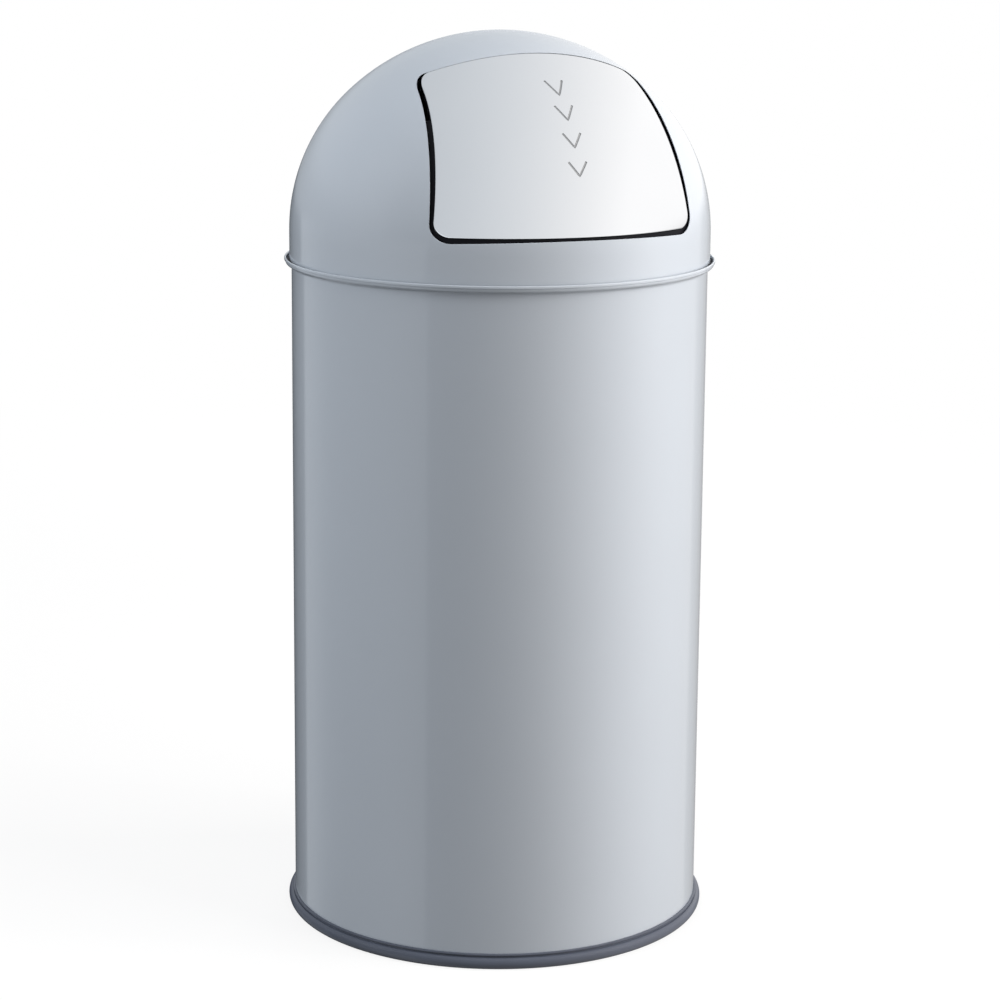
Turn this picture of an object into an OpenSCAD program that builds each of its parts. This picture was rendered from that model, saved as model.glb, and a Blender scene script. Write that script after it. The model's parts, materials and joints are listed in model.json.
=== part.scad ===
// Round push-top waste bin: a rolled sheet-steel body on a plastic floor ring,
// a domed lid with a spring-closed push flap, and a lift-out liner with a bail.
// Millimetres, +Z up, origin on the floor under the middle of the base,
// flap towards -Y, back seam towards +Y.

/* [Body] */
// Outer diameter of the steel body
body_d = 345; // [330:1:360]
// Height of the rim above the floor
rim_h = 557.5; // [450:0.5:650]
// Thickness of the painted steel sheet
sheet_t = 0.8; // [0.6:0.1:1.1]
// Height of the folded hem at the rim
hem_h = 2.9; // [2:0.1:5]
// Radius of the bend that turns the neck outward
neck_out_r = 2.4; // [2:0.1:3.5]
// Radius of the bend that turns the neck upright again
neck_up_r = 2.0; // [1.6:0.1:3]
// Width of the folded seam down the back
seam_w = 7; // [5:0.5:12]
// How far the seam stands out from the body
seam_t = 0.7; // [0.4:0.1:1.2]

/* [Base] */
// Height of the floor ring's outer leg
ring_h = 12; // [10:0.5:18]
// How far the ring's bulge stands out past the body
ring_out = 5.5; // [4.5:0.1:7]
// Radius of the ring's bulge
ring_bulge_r = 5.2; // [5:0.1:6]
// Thickness of the ring's top lip
ring_lip_t = 2; // [1.5:0.1:3]
// Height of the ring's top lip
ring_lip_h = 1.6; // [1:0.1:2.5]
// Height of the groove under the lip
ring_groove_h = 1.3; // [1:0.1:2]
// Thickness of the ring's sole
ring_sole_t = 2.5; // [2:0.1:4]
// Height of the ring's inner leg above the sole
ring_inner_h = 5.5; // [3:0.5:7]
// Number of gripping ribs inside the ring's inner leg
ring_rib_count = 24; // [8:1:36]
// Height of the pan's floor above the ground
pan_h = 10; // [9:0.5:16]
// Diameter of the pan's raised middle
pan_dish_d = 230; // [120:5:280]
// How far the pan's middle is raised
pan_dish_h = 2.5; // [1.5:0.5:4]

/* [Lid] */
// How far the lid's skirt stands out past the body
lid_out = 1.75; // [1:0.05:2.2]
// Height of the lid's straight skirt
skirt_h = 25.5; // [18:0.5:32]
// Size of the 20, 21, 29 triangle between the centres of the shoulder's and the crown's arcs
shoulder_k = 0.875; // [0.5:0.025:1]
// Wall of the rubber trim on the lid's lower edge
trim_t = 1; // [0.8:0.1:1.2]
// Height of the trim's legs
trim_h = 2; // [1.5:0.1:4]
// How far the locating collar reaches below the lid's edge
collar_drop = 22; // [14:1:24]
// Height of the collar's band on the lid's wall
collar_band_h = 12; // [8:0.5:16]
// Running gap between the collar and the body
collar_gap = 0.6; // [0.4:0.1:1]

/* [Opening] */
// Width of the opening at its sill
opening_w = 224; // [200:1:226]
// Width of the opening at its top
opening_top_w = 181; // [176:1:190]
// Height of the sill above the rim
sill_h = 32.9; // [32:0.1:45]
// Depth of the opening's top below the crown
top_drop = 14.5; // [14:0.1:16]
// Radius of the arched top edge
top_arch_r = 240; // [210:1:300]
// Radius of the slightly bowed sides
side_arch_r = 940; // [800:10:3000]
// Radius of the slightly arched sill
sill_arch_r = 2150; // [1200:10:3000]
// Radius of the top corners
top_corner_r = 18; // [14:0.5:20]
// Radius of the sill corners
sill_corner_r = 13.6; // [10:0.1:18]

/* [Flap] */
// Gap between the flap and the opening's sides, at the sill
flap_gap = 2.4; // [2:0.1:4]
// Gap between the flap and the opening's sides, at the top
flap_gap_high = 3.7; // [2.5:0.1:4.5]
// Gap between the flap and the opening's top
flap_gap_top = 0.6; // [0.5:0.1:1]
// Gap between the flap and the middle of the sill
flap_gap_sill = 2.9; // [2.4:0.1:4.5]
// Radius of the flap's slightly bowed sides
flap_side_arch_r = 1760; // [1200:10:4000]
// Radius of the flap's nearly straight lower edge
flap_sill_arch_r = 35000; // [5000:1000:60000]
// Radius of the flap's top corners
flap_top_corner_r = 16; // [14:0.5:20]
// Radius of the flap's lower corners
flap_sill_corner_r = 10.2; // [9:0.1:16]
// Thickness of the flap's steel plate
plate_t = 0.8; // [0.6:0.1:1.2]
// Wall of the flap's plastic backing
backing_t = 2.5; // [2:0.1:3]
// How far the backing's flange laps behind the opening's edge
flange_lap = 5; // [4:0.5:6]
// Depth of the backing's ribs
rib_depth = 7; // [4:0.5:9]
// Thickness of the backing's ribs
rib_t = 1.8; // [1.4:0.1:2.4]
// Thickness of the rubber stop pads
pad_t = 1.1; // [0.8:0.1:1.4]
// Length of one stop pad
pad_l = 36; // [20:1:50]

/* [Hinge] */
// Diameter of the steel axle
axle_d = 5; // [4:0.5:6]
// Depth of the axle below the opening's top
hinge_drop = 24.7; // [23:0.1:27]
// Distance of the axle behind the opening's top edge
hinge_back = 9.7; // [8:0.1:12]
// Width of the hinge bracket over its two ears
bracket_w = 120; // [100:1:124]
// Depth of the bracket's web from front to back
bracket_l = 30; // [20:1:40]
// Thickness of the bracket's steel
bracket_t = 1.5; // [1.2:0.1:2]
// Radius of the bracket's ear around the axle
ear_r = 9; // [7.5:0.5:10]
// Outer diameter of the nylon bushes
bush_d = 8; // [7.5:0.5:9]
// Outer diameter of the backing's hinge knuckles
knuckle_d = 10; // [9:0.5:12]
// Length of one hinge knuckle
knuckle_l = 17; // [12:1:24]
// Diameter of the axle's push-on clips
clip_d = 11; // [9:0.5:13]
// Wire diameter of the torsion spring
spring_wire_d = 1.4; // [1:0.1:1.6]
// Number of whole turns of the torsion spring
spring_turns = 8; // [4:1:10]

/* [Liner] */
// Depth of the liner's rim below the body's rim
liner_drop = 42.5; // [36:0.5:80]
// Gap between the liner's rim and the body
liner_gap = 4; // [3:0.5:6]
// Diameter of the liner's wired rim
liner_bead_d = 8; // [6:0.5:10]
// Thickness of the liner's galvanised sheet
liner_t = 0.8; // [0.6:0.1:1]
// Depth of the recess under the liner's bottom
liner_foot_h = 6; // [5:0.5:10]

/* [Bail] */
// Diameter of the bail's wire
bail_d = 5; // [4:0.5:6]
// Inset of the bail's legs from the liner's wall
bail_inset = 5.2; // [5:0.1:8]
// Outer diameter of the grip
grip_d = 14; // [12:0.5:16]
// Arc that the grip covers, in degrees
grip_arc = 40; // [24:1:60]
// Width of one bail ear
bail_ear_w = 24; // [20:1:28]
// Thickness of one bail ear
bail_ear_t = 1.5; // [1.2:0.1:2]
// Length of the ear below the liner's rim
bail_ear_l = 44; // [36:1:60]
// Diameter of the ear rivets
rivet_d = 4; // [3:0.5:5]

/* [Hidden] */
$fn = 120;

paint = [0.70, 0.73, 0.76];
ring_grey = [0.30, 0.33, 0.38];
black_plastic = [0.06, 0.06, 0.07];
steel = [0.80, 0.81, 0.82];
galvanised = [0.62, 0.64, 0.66];
rubber_black = [0.10, 0.10, 0.11];
nylon = [0.88, 0.86, 0.80];

// Clearances
seat = 0.05;        // between pieces that are pressed or glued together
rest_gap = 0.3;     // between pieces that rest on each other and come apart
run_gap = 0.05;     // radial, shaft in bore

// Body radii and neck
body_r = body_d / 2;
bore_r = body_r - sheet_t;
neck_x = body_r + neck_out_r;
neck_rise = neck_out_r + sheet_t + neck_up_r;
neck_z = rim_h - hem_h - neck_rise;
hem_in_r = neck_x + neck_up_r;
hem_lap = 0.5;      // height at which the folded-down layer of the hem ends

// Base
shell_z = ring_sole_t + seat;
ring_r = body_r + ring_out;
bulge_drop = 4.7;   // centre of the ring's bulge below the groove
bulge_z = ring_h - ring_lip_h - ring_groove_h - bulge_drop;
pan_r = bore_r - seat;
pan_leg_r = pan_r - sheet_t;
ring_leg_t = 1.5;   // wall of the ring's inner leg
ring_rib_out = 2;   // how far the gripping ribs stand in from the leg

// Lid: skirt, shoulder and crown are tangent arcs about two centres. The whole-number
// triangle between the centres keeps the tangent point exact.
skirt_r = body_r + lid_out;
shoulder_in = 20 * shoulder_k;
shoulder_rise = 21 * shoulder_k;
shoulder_r = skirt_r - shoulder_in;
crown_r = shoulder_r + 29 * shoulder_k;
ledge_z = neck_z + neck_out_r + sheet_t;
trim_z = ledge_z + rest_gap + seat;
dome_z = trim_z + trim_t + seat;
shoulder_z = dome_z + skirt_h;
crown_z = shoulder_z - shoulder_rise;
crown_top = crown_z + crown_r;
shoulder_a = atan2(shoulder_rise, shoulder_in);
shoulder_lap = 10;  // angle by which the shoulder's area runs on under the crown's
far = 2 * crown_r;

// Collar
collar_clear = 2;   // between the trim's legs and the collar's step
collar_step_h = 5;  // height over which the collar steps in
collar_r = bore_r - collar_gap;
collar_step_low = dome_z + trim_h + collar_clear;
collar_step_top = collar_step_low + collar_step_h;
collar_top = collar_step_top + collar_band_h;

// Opening and flap, drawn in the front elevation
sill_z = rim_h + sill_h;
top_z = crown_top - top_drop;
corner_steps = 8;
arch_steps = 8;

// Outlines: half widths at sill and top, heights of sill and top,
// radii of the sill, side and top arches, radii of the sill and top corners
opening_form = [opening_w / 2, opening_top_w / 2, sill_z, top_z,
    sill_arch_r, side_arch_r, top_arch_r, sill_corner_r, top_corner_r];
flap_form = [opening_w / 2 - flap_gap, opening_top_w / 2 - flap_gap_high,
    sill_z + flap_gap_sill, top_z - flap_gap_top,
    flap_sill_arch_r, flap_side_arch_r, top_arch_r, flap_sill_corner_r, flap_top_corner_r];

// Hinge axis
edge_y = -sqrt(pow(crown_r, 2) - pow(top_z - crown_z, 2));
hinge_y = edge_y + hinge_back;
hinge_z = top_z - hinge_drop;
axle_r = axle_d / 2;
bracket_x = bracket_w / 2;
web_r = crown_r - sheet_t - seat;
web_set = 20;       // front of the bracket's web behind the opening's top edge
web_front = edge_y + web_set;
web_back = web_front + bracket_l;
web_hole_r = 4;
ear_heel = 24;      // height of the ear's back corner above the axle
bush_flange_t = 1;
bush_flange_d = bush_d + 4;
bush_out = 0.8;     // length of bush outside the ear
knuckle_x = bracket_x - bracket_t - bush_flange_t - seat - rest_gap;
clip_t = 1;
clip_rim_t = 0.8;   // how far the clip's raised rim stands out
clip_rim_w = 1.2;
clip_x = bracket_x + bush_out + rest_gap;
axle_end = 2;       // length of axle outside each clip
axle_l = 2 * (clip_x + clip_t + axle_end);

// Flap; the g values are depths below the lid's outer face
glue = 0.1;         // adhesive film between plate and backing
root = 0.5;         // how far ribs and arms start inside the backing's skin
backing_g = plate_t + glue;
backing_in_g = backing_g + backing_t;
flange_g = sheet_t + rest_gap + pad_t + seat;
flange_t = 2;
flange_in = 4;      // width of the flange behind the flap's own edge
flange_drop = 25;   // top of the flange below the axle
flange_top = hinge_z - flange_drop;
skin_drop = 8;      // top of the backing's skin below the axle, outside the bracket's ears
rib_inset = 5;      // border rib in from the flap's edge
rib_top_inset = 30;
rib_pitch = 35;
pad_inset = 1;      // pads stay clear of the opening's edge
pad_w = 28;         // width of a side pad before it is trimmed to the flange
arm_t = 2.5;
arm_reach = [40, 58];   // how far the knuckle's arms reach forward, above and below
arm_rise = [12, -10];   // height of their ends above the axle

// Torsion spring round the axle
spring_clear = 1.1; // between the axle and the turns
spring_pitch_gap = 0.5;
spring_r = axle_r + spring_clear + spring_wire_d / 2;
spring_pitch = spring_wire_d + spring_pitch_gap;
spring_steps = 8;
spring_sides = 6;
spring_start = 143;
spring_end = 78 + 360 * spring_turns;
spring_w = spring_pitch * (spring_end - spring_start) / 360;

// Liner
liner_z = rim_h - liner_drop;
liner_bead_r = liner_bead_d / 2;
liner_bead_x = bore_r - liner_gap - liner_bead_r;
liner_in_r = liner_bead_x - liner_bead_r;
liner_out_r = liner_in_r + liner_t;
liner_low = pan_h + sheet_t + rest_gap;
liner_curl = 1.6;   // radius of the seam round the liner's foot
liner_base_leg = 3; // height of the bottom's turned-up leg
liner_base_step = 1;
liner_base_flat = 27;
liner_base_slope = 3;
rivet_r = rivet_d / 2;
rivet_head_r = rivet_r + 1.6;
rivet_head_t = 1.2;
rivet_drops = [16, 34];
ear_corner = 6;     // radius of the bail ear's lower corners
ear_step = 2;       // how far the ear narrows on each side at its head

// Bail
bail_r = bail_d / 2;
grip_r = grip_d / 2;
bail_z = liner_z + grip_r + rest_gap;
bail_ear_x = sqrt(pow(liner_in_r - seat, 2) - pow(bail_ear_w / 2, 2));
bail_leg_x = bail_ear_x - bail_ear_t - bail_inset;
bail_bend_r = bail_inset - rest_gap;
bail_straight = 5;
bail_back = bail_bend_r + bail_straight;
bail_head_r = bail_r + 1.5;
bail_head_t = 1.5;

// ---------------------------------------------------------------- helpers

function arc_points(c, r, a0, a1, n) =
    [for (i = [0:n]) let (a = a0 + (a1 - a0) * i / n) c + r * [cos(a), sin(a)]];

function heading(v) = atan2(v[1], v[0]);

// Where a line that starts at q and runs along the unit vector s leaves a circle of radius r
function line_to_circle(q, s, r) = -q * s + sqrt(pow(q * s, 2) - q * q + r * r);

// Point where circles about two centres meet, to the right of the way from c0 to c1
function circles_meet(c0, r0, c1, r1) =
    let (d = norm(c1 - c0),
        u = (c1 - c0) / d,
        along = (d * d + r0 * r0 - r1 * r1) / (2 * d))
    c0 + along * u + sqrt(r0 * r0 - along * along) * [u[1], -u[0]];

// Right half of an outline set in by the gaps, from the middle of the sill to the middle
// of the top: sill arch, corner, side arch, corner, top arch
function half_outline(form, gap, gap_top, gap_sill) =
    let (foot = [form[0], form[2]],
        head = [form[1], form[3]],
        half = norm(head - foot) / 2,
        out = [head[1] - foot[1], foot[0] - head[0]] / (2 * half),
        side_c = (foot + head) / 2 - out * sqrt(pow(form[5], 2) - half * half),
        sill_c = [0, form[2] - form[4]],
        top_c = [0, form[3] - form[6]],
        side_r = form[5] - gap,
        sill_r = form[4] + gap_sill,
        top_r = form[6] - gap_top,
        r1 = form[7] - gap,
        r2 = form[8] - gap,
        k1 = circles_meet(sill_c, sill_r + r1, side_c, side_r - r1),
        k2 = circles_meet(top_c, top_r - r2, side_c, side_r - r2),
        a1 = heading(k1 - sill_c),
        b1 = heading(k1 - side_c),
        b2 = heading(k2 - side_c),
        a2 = heading(k2 - top_c))
    concat(
        arc_points(sill_c, sill_r, 90, a1, arch_steps),
        arc_points(k1, r1, a1 - 180, b1, corner_steps),
        arc_points(side_c, side_r, b1, b2, arch_steps),
        arc_points(k2, r2, b2, a2, corner_steps),
        arc_points(top_c, top_r, a2, 90, arch_steps));

// Whole outline; the two middle points are shared by both halves
function outline(form, gap, gap_top, gap_sill) =
    let (h = half_outline(form, gap, gap_top, gap_sill), n = len(h))
    concat(
        [for (i = [0:n - 1]) h[i]],
        [for (i = [n - 2:-1:1]) [-h[i][0], h[i][1]]]);

// Drops points that repeat the one before them
function clean(p) =
    [for (i = [0:len(p) - 1]) if (norm(p[i] - p[(i + 1) % len(p)]) > 0.001) p[i]];

module opening_outline(gap, gap_top, gap_sill) {
    polygon(clean(outline(opening_form, gap, gap_top, gap_sill)));
}

module flap_outline(gap, gap_top, gap_sill) {
    polygon(clean(outline(flap_form, gap, gap_top, gap_sill)));
}

// Runs a front-elevation shape forward from the middle of the lid
module from_front() {
    rotate([90, 0, 0]) linear_extrude(far) children();
}

// Area under the lid's profile, set in from its outer face by g
module dome_section(g, low) {
    lap_a = shoulder_a + shoulder_lap;
    translate([0, low]) square([skirt_r - g, shoulder_z - low]);
    intersection() {
        translate([shoulder_in, shoulder_z]) circle(shoulder_r - g);
        polygon([[shoulder_in, shoulder_z],
            [far, shoulder_z],
            [far, shoulder_z + far],
            [shoulder_in + far * cos(lap_a), shoulder_z + far * sin(lap_a)]]);
    }
    intersection() {
        translate([0, crown_z]) circle(crown_r - g);
        polygon([[0, crown_z],
            [far * cos(shoulder_a), crown_z + far * sin(shoulder_a)],
            [0, crown_z + far]]);
    }
}

module dome_solid(g, low = dome_z) {
    rotate_extrude() dome_section(g, low);
}

// Sheet between two depths below the lid's outer face
module dome_layer(g0, g1, low = dome_z) {
    difference() {
        dome_solid(g0, low);
        dome_solid(g1, low - 1);
    }
}

// A quarter of a flat ring in the quadrant given by two signs
module quarter_ring(r, t, sx, sy) {
    intersection() {
        difference() {
            circle(r + t);
            circle(r);
        }
        translate([sx < 0 ? -r - t : 0, sy < 0 ? -r - t : 0]) square(r + t);
    }
}

// Rod, tube or disc along X from x0 to x1
module along_x(x0, x1, r, hole = 0) {
    translate([x0, 0, 0]) rotate([0, 90, 0]) difference() {
        cylinder(h = x1 - x0, r = r);
        if (hole > 0) translate([0, 0, -1]) cylinder(h = x1 - x0 + 2, r = hole);
    }
}

module at_hinge() {
    translate([0, hinge_y, hinge_z]) children();
}

module at_bail() {
    translate([0, 0, bail_z]) children();
}

// ---------------------------------------------------------------- body

// Wall, joggled neck that the lid drops into, hem and back seam
module body_shell() {
    color(paint) {
        rotate_extrude() {
            translate([bore_r, shell_z]) square([sheet_t, neck_z - shell_z]);
            translate([neck_x, neck_z]) quarter_ring(neck_out_r, sheet_t, -1, 1);
            translate([neck_x, neck_z + neck_rise]) quarter_ring(neck_up_r, sheet_t, 1, -1);
            translate([hem_in_r, neck_z + neck_rise]) square([sheet_t, hem_h - sheet_t]);
            translate([hem_in_r, neck_z + neck_rise + hem_lap])
                square([2 * sheet_t, hem_h - sheet_t - hem_lap]);
            translate([hem_in_r + sheet_t, rim_h - sheet_t]) circle(sheet_t);
        }
        back_seam();
    }
}

// Folded lengthwise seam, thicker along its locked edge
module back_seam() {
    seam_angle = seam_w / body_r * 180 / PI;
    seam_low = ring_h + 1;
    seam_top = neck_z - 1;
    rotate([0, 0, 90 - seam_angle / 2]) rotate_extrude(angle = seam_angle)
        translate([body_r - sheet_t / 2, seam_low])
            square([sheet_t / 2 + seam_t, seam_top - seam_low]);
}

// Pressed bottom with a turned-down leg and a raised middle
module base_pan() {
    dish_r = pan_dish_d / 2;
    slope = 2 * pan_dish_h;
    color(paint) rotate_extrude() {
        translate([pan_leg_r, shell_z]) square([sheet_t, pan_h + sheet_t - shell_z]);
        polygon([[0, pan_h + pan_dish_h],
            [dish_r - slope, pan_h + pan_dish_h],
            [dish_r, pan_h],
            [pan_leg_r, pan_h],
            [pan_leg_r, pan_h + sheet_t],
            [dish_r, pan_h + sheet_t],
            [dish_r - slope, pan_h + pan_dish_h + sheet_t],
            [0, pan_h + pan_dish_h + sheet_t]]);
    }
}

// Moulded floor ring: lip, groove and bulge outside, gripping ribs inside
module base_ring() {
    inner_r = pan_leg_r - seat;
    outer_r = body_r + seat;
    groove_z = ring_h - ring_lip_h - ring_groove_h;
    color(ring_grey) {
        rotate_extrude() {
            translate([inner_r - ring_leg_t, 0])
                square([outer_r - inner_r + ring_leg_t, ring_sole_t]);
            translate([inner_r - ring_leg_t, 0])
                square([ring_leg_t, ring_sole_t + ring_inner_h]);
            translate([outer_r, 0]) square([ring_lip_t / 2, ring_h]);
            translate([outer_r, ring_h - ring_lip_h]) square([ring_lip_t, ring_lip_h]);
            intersection() {
                translate([ring_r - ring_bulge_r, bulge_z]) circle(ring_bulge_r);
                translate([outer_r, 0]) square([ring_out, groove_z]);
            }
            translate([outer_r, 0]) square([ring_lip_t, bulge_z]);
        }
        for (i = [0:ring_rib_count - 1])
            rotate([0, 0, i * 360 / ring_rib_count])
                translate([inner_r - ring_leg_t - ring_rib_out, -rib_t / 2, 0])
                    cube([ring_rib_out + ring_leg_t / 2, rib_t, ring_sole_t + ring_inner_h - 1]);
    }
}

// ---------------------------------------------------------------- liner

// Galvanised wall with a wired rim and a curled foot
module liner_bucket() {
    color(galvanised) difference() {
        rotate_extrude() {
            translate([liner_in_r, liner_low + liner_curl])
                square([liner_t, liner_z - liner_bead_r - liner_low - liner_curl]);
            translate([liner_bead_x, liner_z - liner_bead_r]) circle(liner_bead_r);
            translate([liner_in_r + liner_t - liner_curl, liner_low + liner_curl])
                circle(liner_curl);
        }
        rivet_bores();
    }
}

// Bores for the ear rivets on both sides
module rivet_bores() {
    for (turn = [0, 180], drop = rivet_drops)
        rotate([0, 0, turn]) translate([0, 0, liner_z - drop])
            along_x(bail_leg_x, body_r, rivet_r + run_gap);
}

// Recessed bottom, pressed up inside the wall
module liner_base() {
    r = liner_in_r - seat;
    floor_z = liner_low + liner_foot_h;
    leg_z = liner_low + 2 * liner_curl + seat;
    flat_r = r - liner_base_flat;
    dish_r = flat_r - liner_base_slope;
    dish_z = floor_z - liner_base_step;
    color(galvanised) rotate_extrude() {
        translate([r - liner_t, leg_z])
            square([liner_t, floor_z + liner_base_leg - leg_z]);
        polygon([[0, dish_z],
            [dish_r, dish_z],
            [flat_r, floor_z],
            [r - liner_t / 2, floor_z],
            [r - liner_t / 2, floor_z + liner_t],
            [flat_r, floor_z + liner_t],
            [dish_r, dish_z + liner_t],
            [0, dish_z + liner_t]]);
    }
}

// Flat steel ear inside the wall, rising over the rim to carry the bail
module bail_ear(side) {
    low = liner_z - bail_ear_l;
    neck = liner_z - ear_corner;
    head_w = bail_ear_w - 2 * ear_step;
    color(steel) mirror([side < 0 ? 1 : 0, 0, 0]) difference() {
        translate([bail_ear_x - bail_ear_t, 0, 0])
            rotate([90, 0, 90]) linear_extrude(bail_ear_t) {
                translate([0, bail_z]) circle(head_w / 2);
                translate([-head_w / 2, neck]) square([head_w, bail_z - neck]);
                translate([-bail_ear_w / 2, low + ear_corner])
                    square([bail_ear_w, neck - low - ear_corner]);
                translate([-bail_ear_w / 2 + ear_corner, low])
                    square([bail_ear_w - 2 * ear_corner, 2 * ear_corner]);
                for (s = [-1, 1])
                    translate([s * (bail_ear_w / 2 - ear_corner), low + ear_corner])
                        circle(ear_corner);
            }
        at_bail() along_x(bail_leg_x, body_r, bail_r + run_gap);
        rivet_bores();
    }
}

// Four rivets, each a shank with a domed head inside and a flat head outside
module ear_rivets() {
    in_x = bail_ear_x - bail_ear_t - seat;
    out_x = liner_out_r + seat;
    color(steel) for (side = [0, 180], drop = rivet_drops)
        rotate([0, 0, side]) translate([0, 0, liner_z - drop]) {
            along_x(in_x - rivet_head_t / 2, out_x + rivet_head_t / 2, rivet_r);
            along_x(in_x - rivet_head_t, in_x, rivet_head_r);
            along_x(out_x, out_x + rivet_head_t, rivet_head_r);
        }
}

// Bent wire: half circle, short legs, and ends turned out through the ears
module bail_wire() {
    pin_x = bail_ear_x + rest_gap;
    color(steel) at_bail() {
        translate([0, bail_back, 0]) rotate_extrude(angle = 180)
            translate([bail_leg_x, 0]) circle(bail_r);
        for (side = [0, 1]) mirror([side, 0, 0]) {
            translate([bail_leg_x, bail_back, 0]) rotate([90, 0, 0])
                cylinder(h = bail_straight, r = bail_r);
            translate([bail_leg_x + bail_bend_r, bail_bend_r, 0])
                rotate([0, 0, 180]) rotate_extrude(angle = 90)
                    translate([bail_bend_r, 0]) circle(bail_r);
            along_x(bail_leg_x + bail_bend_r, pin_x + bail_head_t / 2, bail_r);
            along_x(pin_x, pin_x + bail_head_t, bail_head_r);
        }
    }
}

// Moulded tube grip with a collar at each end and finger rings between
module bail_grip() {
    ring_arc = 1.2;
    ring_gaps = 6;
    start = 90 - grip_arc / 2;
    color(black_plastic) at_bail() translate([0, bail_back, 0]) difference() {
        union() {
            curved_rod(start, grip_arc, grip_r - 1);
            for (i = [0:ring_gaps])
                curved_rod(start + (grip_arc - ring_arc) * i / ring_gaps, ring_arc, grip_r);
        }
        curved_rod(start - 1, grip_arc + 2, bail_r + seat);
    }
}

// Rod along the bail's half circle
module curved_rod(start, arc, r) {
    rotate([0, 0, start]) rotate_extrude(angle = arc) translate([bail_leg_x, 0]) circle(r);
}

// ---------------------------------------------------------------- lid

// Pressed dome with the flap's opening cut through its front
module lid_dome() {
    color(paint) difference() {
        dome_layer(0, sheet_t);
        from_front() opening_outline(0, 0, 0);
    }
}

// Rubber channel pushed onto the lid's lower edge, resting on the neck
module lid_edge_trim() {
    inner = skirt_r - sheet_t - seat - trim_t;
    outer = skirt_r + seat + trim_t;
    color(rubber_black) rotate_extrude() {
        translate([inner, trim_z]) square([outer - inner, trim_t]);
        translate([inner, trim_z]) square([trim_t, trim_t + seat + trim_h]);
        translate([outer - trim_t, trim_z]) square([trim_t, trim_t + seat + trim_h]);
    }
}

// Welded band that steps in and reaches down inside the body to locate the lid
module lid_collar() {
    band_r = skirt_r - sheet_t - seat;
    inner_rise = 0.3;   // keeps the sheet's thickness over the slope
    color(paint) rotate_extrude()
        polygon([[collar_r - sheet_t, dome_z - collar_drop],
            [collar_r, dome_z - collar_drop],
            [collar_r, collar_step_low],
            [band_r, collar_step_top],
            [band_r, collar_top],
            [band_r - sheet_t, collar_top],
            [band_r - sheet_t, collar_step_top + inner_rise],
            [collar_r - sheet_t, collar_step_low + inner_rise]]);
}

// ---------------------------------------------------------------- hinge

// Pressed steel bridge: a web that follows the crown and an ear at each end
module hinge_bracket() {
    color(steel) difference() {
        intersection() {
            translate([0, 0, crown_z]) sphere(web_r);
            union() {
                difference() {
                    translate([-bracket_x, web_front, hinge_z])
                        cube([bracket_w, bracket_l, far]);
                    translate([0, 0, crown_z]) sphere(web_r - bracket_t);
                    for (x = [-bracket_w / 4, 0, bracket_w / 4])
                        translate([x, (web_front + web_back) / 2, hinge_z])
                            cylinder(h = far, r = web_hole_r);
                }
                bracket_ear(-bracket_x);
                bracket_ear(bracket_x - bracket_t);
            }
        }
        at_hinge() along_x(-far, far, bush_d / 2 + run_gap);
    }
}

module bracket_ear(x) {
    translate([x, 0, 0]) rotate([90, 0, 90]) linear_extrude(bracket_t) {
        translate([hinge_y, hinge_z]) circle(ear_r);
        polygon([[hinge_y - ear_r * cos(45), hinge_z + ear_r * sin(45)],
            [web_front, crown_z + crown_r],
            [web_back, crown_z + crown_r],
            [web_back, hinge_z + ear_heel],
            [hinge_y + ear_r * cos(45), hinge_z - ear_r * sin(45)]]);
    }
}

// Flanged nylon bush in one ear
module hinge_bush(side) {
    inner_x = bracket_x - bracket_t - seat;
    color(nylon) at_hinge() mirror([side < 0 ? 1 : 0, 0, 0]) {
        along_x(inner_x - bush_flange_t, bracket_x + bush_out, bush_d / 2, axle_r + run_gap);
        along_x(inner_x - bush_flange_t, inner_x, bush_flange_d / 2, axle_r + run_gap);
    }
}

module hinge_axle() {
    color(steel) at_hinge() along_x(-axle_l / 2, axle_l / 2, axle_r);
}

// Push-on retaining clip with a raised rim
module axle_clip(side) {
    color(steel) at_hinge() mirror([side < 0 ? 1 : 0, 0, 0]) {
        along_x(clip_x, clip_x + clip_t, clip_d / 2, axle_r + seat);
        along_x(clip_x, clip_x + clip_t + clip_rim_t, axle_r + clip_rim_w, axle_r + seat);
    }
}

// Path of the spring's wire, as [x, y, z] from the hinge axis
function spring_point(a) =
    [spring_pitch * (a - spring_start) / 360 - spring_w / 2,
        spring_r * cos(a), spring_r * sin(a)];

// Length of a leg that starts at angle a and runs to a sphere about the crown's centre
function spring_reach(a, s, r) =
    let (q = [hinge_y + spring_r * cos(a), hinge_z - crown_z + spring_r * sin(a)])
    line_to_circle(q, s, r);

// Ring of points round the wire, in the plane across it at angle a
function spring_ring(p, a) =
    [for (k = [0:spring_sides - 1]) let (f = 360 * k / spring_sides)
        p + spring_wire_d / 2 * [sin(f), cos(f) * cos(a), cos(f) * sin(a)]];

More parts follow.
